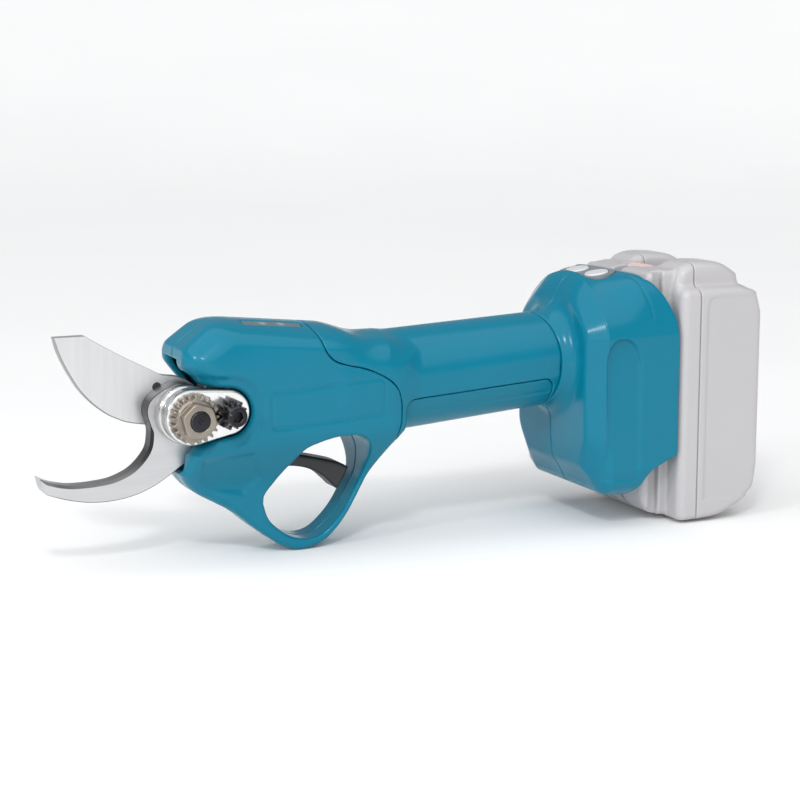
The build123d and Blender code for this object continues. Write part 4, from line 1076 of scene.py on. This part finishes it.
def build_spring():
    """Rigid coil spring on the housing in the trigger spring's place; the real spring is squeezed against
    the head while the trigger is pulled.
    """
    points, faces = coil_spring(*around("trigger_spring", 0), SPRING_WIRE, SPRING_TURNS)
    spring = new_piece("trigger_spring_coil", points, faces, "housing", "spring_steel")
    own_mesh(spring)
    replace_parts(spring, "trigger_spring")


def build_trigger():
    lever = moulding("trigger_lever_skin", trigger_form, *around("trigger", 1.5), "trigger_lever",
                     "black_plastic", LEVER_STEP)
    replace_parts(lever, "trigger")


# ---- stage ----
LIT_POINT = Vector((0.0, 0.0, 0.06))


def pale_floor():
    """Wide pale floor that rises gently far away, like a studio's curved backdrop."""
    rings, spokes = 24, 64
    points, faces = [(0, 0, 0)], [(0, 1 + k, 1 + (k + 1) % spokes) for k in range(spokes)]
    for ring in range(rings):
        radius = 0.5 + 0.25 * ring
        height = 0.9 * ease((radius - 2.0) / 4.0)
        points += [(radius * math.cos(a), radius * math.sin(a), height)
                   for a in np.arange(spokes) * 2 * math.pi / spokes]
    for ring in range(rings - 1):
        for k in range(spokes):
            a, b = 1 + ring * spokes + k, 1 + ring * spokes + (k + 1) % spokes
            faces.append((a, a + spokes, b + spokes, b))
    mesh = bpy.data.meshes.new("floor")
    mesh.from_pydata(points, [], faces)
    mesh.polygons.foreach_set("use_smooth", [True] * len(faces))
    s = Shader("pale_floor", (0.97, 0.97, 0.97), 0.7)
    mesh.materials.append(s.finish(s.drift(3, 0.01), s.noise(40), 0.03))
    put("floor", mesh)


def area_light(name, at, size, power):
    """Softbox that faces the middle of the tool."""
    data = bpy.data.lights.new(name, "AREA")
    data.shape = "RECTANGLE"
    data.size, data.size_y = size
    data.energy = power
    light = put(name, data)
    light.location = at
    light.rotation_euler = (LIT_POINT - Vector(at)).to_track_quat("-Z", "Y").to_euler()


def soft_sun(direction, strength, angle):
    """Even light from one side of the room, from a wide patch of sky."""
    data = bpy.data.lights.new("wide_sun", "SUN")
    data.energy, data.angle = strength, math.radians(angle)
    put("wide_sun", data).rotation_euler = (-Vector(direction)).to_track_quat("-Z", "Y").to_euler()


def studio():
    """Pale room, a wide soft sun and two softboxes at the front."""
    world = bpy.data.worlds.new("studio")
    world.use_nodes = True
    sky = world.node_tree.nodes["Background"].inputs
    sky["Color"].default_value = (0.96, 0.98, 1.0, 1)
    sky["Strength"].default_value = 0.32
    bpy.context.scene.world = world
    bpy.context.scene.view_settings.view_transform = "Standard"
    soft_sun((-0.35, -0.45, 1.0), 2.2, 110)
    area_light("key_softbox", (-0.42, -0.75, 0.8), (0.15, 0.12), 3.2)
    area_light("left_softbox", (-0.95, -0.35, 0.5), (0.10, 0.16), 1.9)


def photo_camera():
    """Camera at the photograph's viewing angle."""
    azimuth, elevation, distance = math.radians(-25), math.radians(10), 0.8485
    target = Vector((0.0005, 0.0, 0.0583))
    back = Vector((math.sin(azimuth) * math.cos(elevation), -math.cos(azimuth) * math.cos(elevation),
                   math.sin(elevation)))
    data = bpy.data.cameras.new("camera")
    data.lens, data.sensor_width = 90, 36
    camera = put("camera", data)
    camera.location = target + back * distance
    camera.rotation_euler = (-back).to_track_quat("-Z", "Y").to_euler()
    bpy.context.scene.camera = camera


dress_cad_nodes()
build_front()
build_housing()
build_battery()
build_blades()
build_pivot()
build_trigger()
build_spring()
pale_floor()
studio()
photo_camera()
